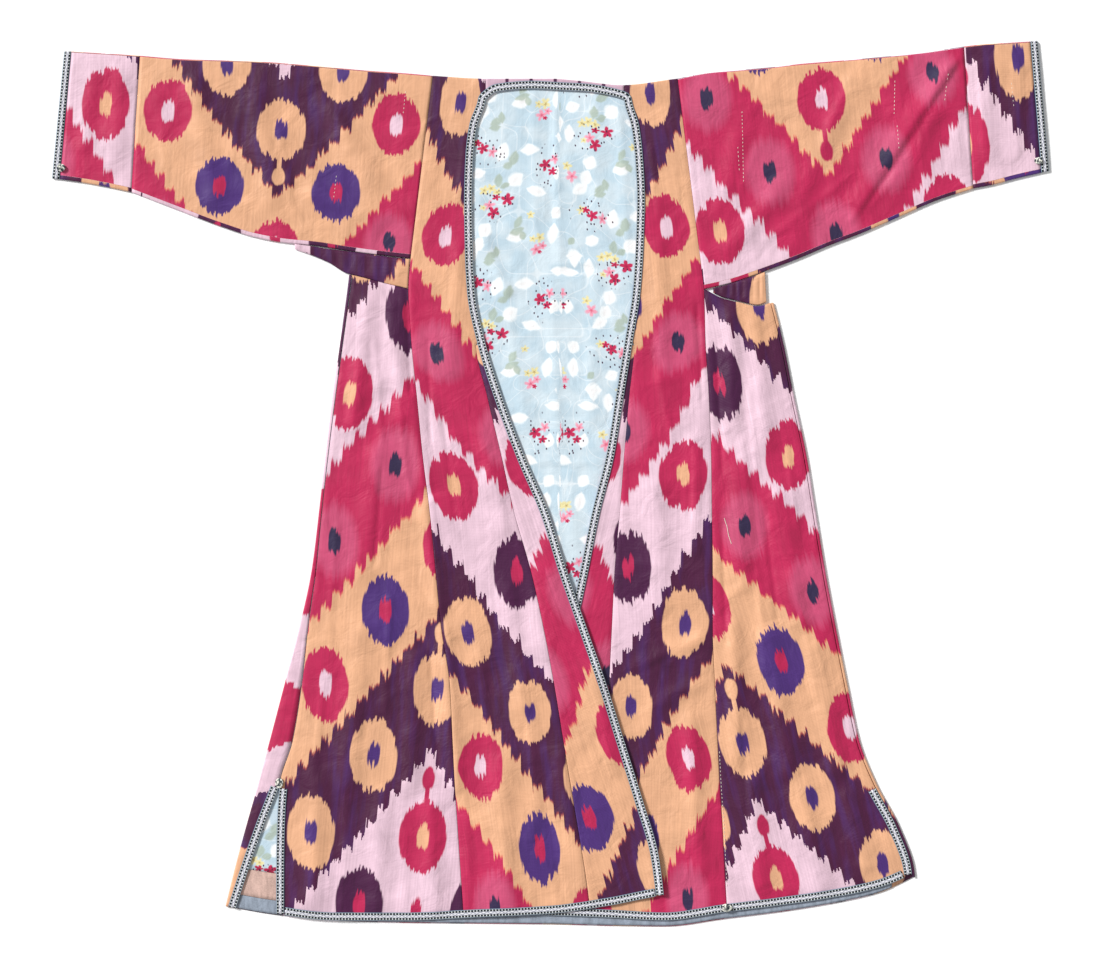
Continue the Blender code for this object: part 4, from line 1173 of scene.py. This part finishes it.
kept = add_node(lining_tree, "Math LESS_THAN", chance.outputs[0], 0.42)
spray = printed_forms(lining_tree, cell, BUD_SPRAYS)
kept = add_node(lining_tree, "Math MULTIPLY", kept,
                add_node(lining_tree, "MapRange", spray, 0.8, 0.95, 1.0, 0.0))
bud = add_node(lining_tree, "MapRange", buds.outputs["Distance"], 0.15, 0.24, 1.0, 0.0)
bud = add_node(lining_tree, "Math MULTIPLY", bud, kept)
ground = add_node(lining_tree, "Mix", bud, ground, linear(BUD), data_type="RGBA")
ground = warp_streaks(lining_tree, across, along, ground, 0.93, 1.05)
lining_tree.links.new(ground.outputs[0],
                      lining_tree.nodes["Principled BSDF"].inputs["Base Color"])
woven_relief(lining_tree, across, along, 0.0011, 0.0020)

HEM_TAPE = 20 * MM
HEM_FACING = 58 * MM
PLEAT = 13 * MM
PLEAT_TAKES = 17 * MM
LINING_CREASES = (
    (-24, 545, -20, 330, 6, 1.2),
    (6, 545, 13, 300, 4, 1.6),
    (-4, 545, 0, 320, 4, -0.8),
    (60, 545, 66, 380, 9, 0.8),
    (96, 530, 108, 330, 7, 1.4),
    (-112, 470, -100, 330, 9, 1.0),
    (-96, 352, -62, 270, 9, 1.8),
    (-80, 340, -48, 262, 6, -1.0),
    (-58, 268, -36, 296, 6, 0.9),
    (6, 306, 118, 312, 3, 1.6),
    (6, 300, 118, 306, 4, -1.0),
    (-60, 240, -34, 80, 8, 1.2),
    (0, 290, 10, 60, 6, 1.2),
    (62, 290, 56, 90, 8, 1.2),
    (-34, 29, 70, 29, 3, 1.4),
    (-34, 24, 70, 24, 3, -0.8),
    (30, 20, 36, -110, 7, 1.0),
    (-70, 420, -6, 376, 6, 0.7),
    (24, 452, 96, 414, 6, 0.7),
    (30, 380, 92, 350, 6, 0.6),
)


def lining_z(x, y):
    """Middle of the lining: low creases in the opening, flat under the fronts."""
    inside = smoothstep(0, 16 * MM, x - edge_left(y)) * smoothstep(0, 16 * MM, edge_right(y) - x)
    inside *= smoothstep(0, 10 * MM, neck(x) - y)
    return LINING_Z + (raised(x, y, LINING_CREASES) + 0.7 * hang(x * 0.8, y)) * inside


def above_facing(x):
    return hem["back"](x) + HEM_FACING + GAP


middle = panel_points(shifted(seam_left, SEAM), shifted(seam_right, -SEAM),
                      lambda x: shoulder(x) - 3 * MM, above_facing, lining_z, columns=96, rows=230)
side = panel_points(shifted(skirt["side_left"], 3 * MM), shifted(seam_left, -SEAM),
                    lambda x: side_top_left(x) - 3 * SIDE_GAP, above_facing, lining_z,
                    columns=30, rows=90)
for node, points, cut, area in (("lining_center", middle, (0.39, 1.14), 0.435),
                                ("lining_side_left", side, (0.29, 0.86), 0.165)):
    x = points[:, :, 0]
    y = points[:, :, 1]
    right_of_pleat = smoothstep(PLEAT - 2 * MM, PLEAT + 2 * MM, x)
    fan = mix(-0.041, 0.145, right_of_pleat) * (np.maximum(y, 0.1) - 0.45)
    flat = (x + fan - PLEAT_TAKES * (1 - right_of_pleat), y)
    piece = cloth_mesh(node + "_cloth", points, flat, LINING_SHEET, lining_print)
    dress(piece, node)

# Inside hem: a salmon cotton facing, and a woven grey-blue tape along the very edge, both
# stitched to the inside of the back; they show in the slit and below the fronts.
SALMON = "#D0AFA3"
HEM_BLUE = "#939DAB"
for node, slot, colour, low, high, cut, area in (
        ("hem_facing_back", "facing", SALMON, HEM_TAPE + GAP, HEM_FACING, (0.037, 0.92), 0.033),
        ("hem_tape_back", "hem_tape", HEM_BLUE, 1 * MM, HEM_TAPE, (0.019, 0.93), 0.0172)):
    material, tree = new_material("plain_cotton_" + slot, colour, 0.86, 0.05, 0.2)
    across, along = weave_place(tree)
    flecks = add_node(tree, "TexNoise", named={"Vector": add_node(tree, "CombineXYZ", across, along),
                                               "Scale": 500.0, "Detail": 2.0})
    streaks = add_node(tree, "TexNoise", named={
        "Vector": add_node(tree, "CombineXYZ", across, add_node(tree, "Math MULTIPLY", along, 0.25)),
        "Scale": 160.0, "Detail": 2.0})
    flecks = add_node(tree, "Math MULTIPLY_ADD", flecks.outputs[0], 0.35,
                      add_node(tree, "Math MULTIPLY", streaks.outputs[0], 0.65))
    shade = add_node(tree, "MapRange", flecks, 0.36, 0.64, 0.72, 1.14)
    tinted = add_node(tree, "VectorMath SCALE", linear(colour)[:3], named={"Scale": shade})
    tree.links.new(tinted.outputs[0], tree.nodes["Principled BSDF"].inputs["Base Color"])
    woven_relief(tree, across, along, 0.0016, 0.0016)
    left = HEM[0][0] * MM
    rows = []
    for above in np.linspace(high, low, 7):
        for _ in range(8):
            left = float(skirt["side_left"](hem["back"](left) + above)) + 4 * MM
        stations = np.linspace(left, 478 * MM, 220)
        rows.append(np.stack((stations, hem["back"](stations) + above,
                              np.full_like(stations, LINING_Z)), axis=-1))
    points = np.array(rows)
    piece = cloth_mesh(node + "_cloth", points, (points[:, :, 0], points[:, :, 1]),
                       LINING_SHEET, material)
    dress(piece, node)

# Binding tape: a hand-woven cotton tape, 11 mm wide, with a blue corded edge, two rows of dark
# dashes and a white zigzag; it is sewn over every free edge and round the cuffs.
tape_cloth, tape_tree = new_material("hand_woven_edging_tape", "#C9C8D6", 0.8, 0.05, 0.25)
along, across = weave_place(tape_tree)
DASH_PITCH = 0.0044
ZIGZAG_PITCH = 0.0100
tape_colour = colour_ramp(tape_tree, add_node(tape_tree, "Math DIVIDE", across, TAPE_WIDTH), (
    (0.0, "#5E7893"), (0.05, "#A4AFB8"), (0.09, "#0E1618"), (0.30, "#0E1618"), (0.34, "#A9ABBA"),
    (0.42, "#E4E3E8"), (0.56, "#EFEEF0"), (0.65, "#A9ABBA"), (0.69, "#0E1618"), (0.90, "#0E1618"),
    (0.94, "#93A2AE"), (1.0, "#5E7893")), "LINEAR")
dash = add_node(tape_tree, "Math PINGPONG", along, DASH_PITCH / 2)
dash = add_node(tape_tree, "MapRange", dash, DASH_PITCH * 0.33, DASH_PITCH * 0.37, 0.0, 1.0)
row_one = add_node(tape_tree, "Math COMPARE", across, 0.0021, 0.0012)
row_two = add_node(tape_tree, "Math COMPARE", across, 0.0088, 0.0012)
rows = add_node(tape_tree, "Math MULTIPLY", add_node(tape_tree, "Math ADD", row_one, row_two), dash)
tape_colour = add_node(tape_tree, "Mix", rows, tape_colour, linear("#D3D7D6"), data_type="RGBA")
zigzag = add_node(tape_tree, "Math PINGPONG", along, ZIGZAG_PITCH / 2)
zigzag = add_node(tape_tree, "Math MULTIPLY_ADD", zigzag, -0.50, across)
zigzag = add_node(tape_tree, "Math COMPARE", zigzag, 0.0043, 0.0006)
zigzag = add_node(tape_tree, "Math MULTIPLY", zigzag, 0.75)
tape_colour = add_node(tape_tree, "Mix", zigzag, tape_colour, linear("#6E7387"), data_type="RGBA")
tape_tree.links.new(tape_colour.outputs[2],
                    tape_tree.nodes["Principled BSDF"].inputs["Base Color"])
woven_relief(tape_tree, along, across, 0.0010, 0.0003)
PROFILE = ((0.00, 0.05), (0.04, 0.35), (0.09, 0.45), (0.13, 0.30), (0.17, 0.08), (0.25, 0.16),
           (0.34, 0.20), (0.42, 0.32), (0.50, 0.36), (0.58, 0.32), (0.66, 0.20), (0.76, 0.16),
           (0.86, 0.10), (0.94, 0.14), (1.00, 0.02))
TAPE_STEP = 3.2 * MM


def resampled(path, step):
    """A path of x, y points again at an even distance, and the distance of each point."""
    path = np.asarray(path, float)
    lengths = np.concatenate(([0], np.cumsum(np.hypot(*np.diff(path, axis=0).T))))
    stations = np.linspace(0, lengths[-1], int(lengths[-1] / step) + 1)
    return np.stack([np.interp(stations, lengths, path[:, i]) for i in (0, 1)], axis=-1), stations


def tape_piece(node, path, side, surface, step=TAPE_STEP):
    """A length of tape along a free edge: side is +1 if it lies to the left of the path."""
    path, stations = resampled(path, step)
    run = np.gradient(path, axis=0)
    for _ in range(3):
        run[1:-1] = (run[:-2] + 2 * run[1:-1] + run[2:]) / 4
    run /= np.hypot(run[:, 0], run[:, 1])[:, None]
    normal = np.stack((-run[:, 1], run[:, 0]), axis=-1) * side
    shares = np.array([share for share, _ in PROFILE])
    bulge = np.array([height for _, height in PROFILE]) * MM
    place = path[:, None, :] + normal[:, None, :] * shares[None, :, None] * TAPE_WIDTH
    x = place[:, :, 0]
    y = place[:, :, 1]
    z = surface(x, y) + CLOTH / 2 + GAP + TAPE * 0.55 + bulge[None, :] * 0.9
    points = np.dstack((x, y, z))
    flat = (np.repeat(stations[:, None], len(shares), 1),
            np.repeat(shares[None, :] * TAPE_WIDTH, len(stations), 0))
    if side < 0:
        points = points[:, ::-1]
        flat = tuple(part[:, ::-1] for part in flat)
    piece = cloth_mesh(node + "_tape", points, flat, TAPE * 0.8, tape_cloth)
    dress(piece, node)
    return piece


def edge_path(line, lowest, highest, hem_name=None):
    """Points down a side line, from the hem or a height up to a height."""
    if hem_name:
        x = line(lowest)
        for _ in range(8):
            lowest = float(hem[hem_name](x))
            x = line(lowest)
    y = np.linspace(lowest, highest, 400)
    return np.stack((line(y), y), axis=-1)


def band_surface(x, y):
    """What the tape round the opening lies on: the left front, the neck strip, the right front."""
    on_left = np.mean(x - edge_left(y), axis=1, keepdims=True) < 0
    on_right = np.mean(x - edge_right(y), axis=1, keepdims=True) > 0
    level = np.full_like(x, FRONT_Z)
    row = np.arange(len(x))[:, None]
    half = int(np.argmin(np.abs(x[:, 0] - 6 * MM) + np.abs(y[:, 0] - 0.552)))
    level = np.where((row < half) & on_left, left_z(x, y), level)
    return np.where((row > half) & on_right, right_z(x, y), level)


left_run = edge_path(edge_left, -0.6, NECK_CORNER, "left")
right_run = edge_path(edge_right, -0.6, NECK_CORNER, "right")
neck_x = np.linspace(edge_left(NECK_CORNER), edge_right(NECK_CORNER), 120)
neck_run = np.stack((neck_x, neck(neck_x)), axis=-1)
tape_piece("band_front", np.concatenate((left_run, neck_run[1:-1], right_run[::-1])), 1,
           band_surface)


def hem_path(name, line_a, line_b):
    """Points along a hem between the tapes on two side lines."""
    ends = []
    for line, inset in ((line_a, TAPE_WIDTH + GAP), (line_b, -TAPE_WIDTH - GAP)):
        x = float(line(-0.6)) + inset
        for _ in range(8):
            x = float(line(float(hem[name](x)))) + inset
        ends.append(x)
    x = np.linspace(ends[0], ends[1], 300)
    return np.stack((x, hem[name](x)), axis=-1)


def front_left_edge(y):
    return skirt["front_left"](y) + SEAM


def front_right_edge(y):
    return skirt["side_right"](y) - TURN_RIGHT - SEAM


tape_piece("band_hem_left", hem_path("left", front_left_edge, edge_left), 1, left_z)
tape_piece("band_hem_right", hem_path("right", edge_right, front_right_edge), 1, right_z)
tape_piece("band_slit_front_left", edge_path(front_left_edge, -0.6, SLIT, "left"), -1, left_z)
tape_piece("band_slit_front_right", edge_path(front_right_edge, -0.6, SLIT, "right"), 1, right_z)
tape_piece("band_slit_back", edge_path(turn_left, -0.6, SLIT, "back"), 1,
           lambda x, y: np.full_like(x, FRONT_Z))
for node, direction in (("band_cuff_left", -1), ("band_cuff_right", 1)):
    points = sleeve_points(node, direction)
    ring = np.concatenate((np.zeros(1), np.cumsum(np.hypot(*np.diff(points[0, :, :2], axis=0).T))))
    shares = np.linspace(1, 0, len(points))
    flat = (np.repeat(ring[None, :], len(points), 0),
            np.repeat(shares[:, None] * TAPE_WIDTH, points.shape[1], 1))
    if direction < 0:
        points = points[:, ::-1]
        flat = tuple(part[:, ::-1] for part in flat)
    piece = cloth_mesh(node + "_tape", points, flat, CLOTH_SHEET, tape_cloth, ring=True)
    dress(piece, node)

# Knots: the ends of the tape are tied off in small lumps of cotton thread at the cuffs, at the
# hem and at the top of the slit.
knot_thread, knot_tree = new_material("knotted_cotton_thread", "#DAD8CC", 0.9, 0.1, 0.2)
knot_place = add_node(knot_tree, "TexCoord").outputs["Object"]
fibres = add_node(knot_tree, "TexNoise", named={"Vector": knot_place, "Scale": 260.0,
                                                "Detail": 3.0})
fibre_colour = colour_ramp(knot_tree, fibres.outputs[0], (
    (0.0, "#20262B"), (0.44, "#39424A"), (0.5, "#B9BDB4"), (0.56, "#EDEBE0"),
    (1.0, "#F4F2EA")), "LINEAR")
knot_tree.links.new(fibre_colour.outputs[0],
                    knot_tree.nodes["Principled BSDF"].inputs["Base Color"])
KNOTS = {
    "knot_cuff_left": (-684, 442, 14, 11, 5, "cloth"),
    "knot_cuff_right": (683, 452, 13, 10, 5, "cloth"),
    "knot_hem": (247, -593, 18, 12, 6, "tape"),
    "knot_slit": (-379, -419, 13, 15, 4, "cloth"),
}
KNOT_THREAD = 0.9 * MM


def wound_thread(centre, size, turns=7, sides=6):
    """A tube of thread wound round and round a small lump."""
    t = np.linspace(0, 1, 260)
    around = 2 * math.pi * turns * t
    tilt = 2 * math.pi * t * 2.0
    path = np.stack((np.cos(around) * np.cos(tilt), np.sin(around),
                     np.cos(around) * np.sin(tilt)), axis=-1)
    path *= (0.75 + 0.25 * np.sin(around * 0.37))[:, None]
    path = path * (np.array(size) / 2 - KNOT_THREAD) + np.array(centre)
    run = np.gradient(path, axis=0)
    run /= np.linalg.norm(run, axis=1)[:, None]
    side = np.cross(run, (0.31, 0.22, 0.92))
    side /= np.linalg.norm(side, axis=1)[:, None]
    up = np.cross(run, side)
    angles = np.linspace(0, 2 * math.pi, sides, endpoint=False)
    return (path[:, None] + KNOT_THREAD * (np.cos(angles)[None, :, None] * side[:, None]
                                           + np.sin(angles)[None, :, None] * up[:, None]))


for name, (x, y, length, width, height, seat) in KNOTS.items():
    base = FRONT_Z + CLOTH / 2 + GAP
    if seat == "tape":
        base = float(right_z(np.array([x * MM]), np.array([y * MM]))[0]) + CLOTH / 2 + 2 * GAP + TAPE
    centre = (x * MM, y * MM, base + height * MM / 2)
    points = wound_thread(centre, (length * MM, width * MM, height * MM))
    flat = (points[:, :, 0], points[:, :, 1])
    piece = cloth_mesh(name + "_thread", points, flat, 0.0, knot_thread, ring=True)
    dress(piece, name)

# Stitches: a few runs of cream thread show on the seam of the right side panel and on the right
# sleeve, with one long loose end; each stitch is a short length of thread pressed into the cloth.
STITCH_SPACING = 5.2 * MM
STITCH_LENGTH = 2.6 * MM
STITCH_RADIUS = 0.35 * MM
STITCH_RUNS = (
    (268, 520, 270, 424), (262, 470, 264, 440), (482, 563, 481, 519), (485, 500, 487, 470),
    (556, 572, 552, 538), (645, 560, 648, 530), (-203, 548, -206, 520), (-300, 430, -303, 402))
SEAM_STITCHES_ASIDE = 1.8 * MM
LOOSE_THREAD = ((243, -48), (247, -60), (249, -72), (253, -84))
LOOSE_RADIUS = 0.45 * MM
seam_heights = np.linspace(-376, -562, 60) * MM
stitch_paths = [
    np.stack((seam_right(seam_heights) + SEAM_STITCHES_ASIDE, seam_heights), axis=-1)]
for x0, y0, x1, y1 in STITCH_RUNS:
    share = np.linspace(0, 1, 12)
    stitch_paths.append(np.stack((mix(x0, x1, share), mix(y0, y1, share)), axis=-1) * MM)
corners = []
lines = []
for path in stitch_paths:
    first = len(corners)
    level = FRONT_Z + CLOTH / 2 + cloth_lift(path[:, 0], path[:, 1])
    corners += np.column_stack((path, level)).tolist()
    lines += [(first + i, first + i + 1) for i in range(len(path) - 1)]
stitch_mesh = bpy.data.meshes.new("stitch_lines")
stitch_mesh.from_pydata(corners, lines, [])
stitches = bpy.data.objects.new("seam_stitches", stitch_mesh)
bpy.context.scene.collection.objects.link(stitches)
stitch_tree = bpy.data.node_groups.new("running_stitches", "GeometryNodeTree")
stitch_tree.interface.new_socket("Geometry", in_out="OUTPUT", socket_type="NodeSocketGeometry")
stitch_tree.interface.new_socket("Geometry", in_out="INPUT", socket_type="NodeSocketGeometry")
stitch_inputs = {}
for name, value in (("Spacing", STITCH_SPACING), ("Stitch Length", STITCH_LENGTH),
                    ("Thread Radius", STITCH_RADIUS)):
    socket = stitch_tree.interface.new_socket(name, in_out="INPUT", socket_type="NodeSocketFloat")
    stitch_inputs[socket.identifier] = value
given = add_node(stitch_tree, "NodeGroupInput").outputs
run = add_node(stitch_tree, "GeometryNodeMeshToCurve", given["Geometry"])
spots = add_node(stitch_tree, "GeometryNodeCurveToPoints", named={
    "Curve": run, "Length": given["Spacing"]}, mode="LENGTH")
lie = add_node(stitch_tree, "FunctionNodeAlignRotationToVector", named={
    "Vector": spots.outputs["Tangent"]}, axis="Z")
stitch = add_node(stitch_tree, "GeometryNodeMeshCylinder", named={
    "Vertices": 6, "Radius": given["Thread Radius"], "Depth": given["Stitch Length"]})
stretch = add_node(stitch_tree, "FunctionNodeRandomValue", data_type="FLOAT")
for socket, value in zip([s for s in stretch.inputs if s.enabled], (0.7, 1.15, None, 4)):
    if value is not None:
        socket.default_value = value
size = add_node(stitch_tree, "CombineXYZ", 1.0, 1.0, stretch)
placed = add_node(stitch_tree, "GeometryNodeInstanceOnPoints", named={
    "Points": spots.outputs["Points"], "Instance": stitch.outputs["Mesh"],
    "Rotation": lie, "Scale": size})
solid = add_node(stitch_tree, "GeometryNodeRealizeInstances", placed)
finished = add_node(stitch_tree, "GeometryNodeSetMaterial", named={"Geometry": solid})
cream_thread, cream_tree = new_material("cream_sewing_thread", "#EDE6D6", 0.8, 0.1, 0.25)
cream_place = add_node(cream_tree, "TexCoord").outputs["Object"]
ply = add_node(cream_tree, "TexNoise", named={"Vector": cream_place, "Scale": 900.0})
ply_colour = colour_ramp(cream_tree, ply.outputs[0], (
    (0.3, "#CFC6B2"), (0.7, "#F3EEE2")), "LINEAR")
cream_tree.links.new(ply_colour.outputs[0],
                     cream_tree.nodes["Principled BSDF"].inputs["Base Color"])
finished.inputs["Material"].default_value = cream_thread
stitch_tree.links.new(finished.outputs[0],
                      add_node(stitch_tree, "NodeGroupOutput").inputs["Geometry"])
maker = stitches.modifiers.new("running_stitches", "NODES")
maker.node_group = stitch_tree
for identifier, value in stitch_inputs.items():
    maker[identifier] = value
grown = stitches.evaluated_get(bpy.context.evaluated_depsgraph_get())
made = bpy.data.meshes.new_from_object(grown)
stitches.modifiers.clear()
stitches.data = made
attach(stitches, "root")
path, _ = resampled(np.array(LOOSE_THREAD) * MM, 2 * MM)
level = FRONT_Z + CLOTH / 2 + cloth_lift(path[:, 0], path[:, 1]) + 0.3 * MM
angles = np.linspace(0, 2 * math.pi, 6, endpoint=False)
rings = [[(x + LOOSE_RADIUS * math.cos(a), y, z + LOOSE_RADIUS * math.sin(a)) for a in angles]
         for x, y, z in np.column_stack((path, level))]
rings = np.array(rings)
loose = cloth_mesh("loose_thread", rings, (rings[:, :, 0], rings[:, :, 1]), 0.0, cream_thread,
                   ring=True)
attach(loose, "root")
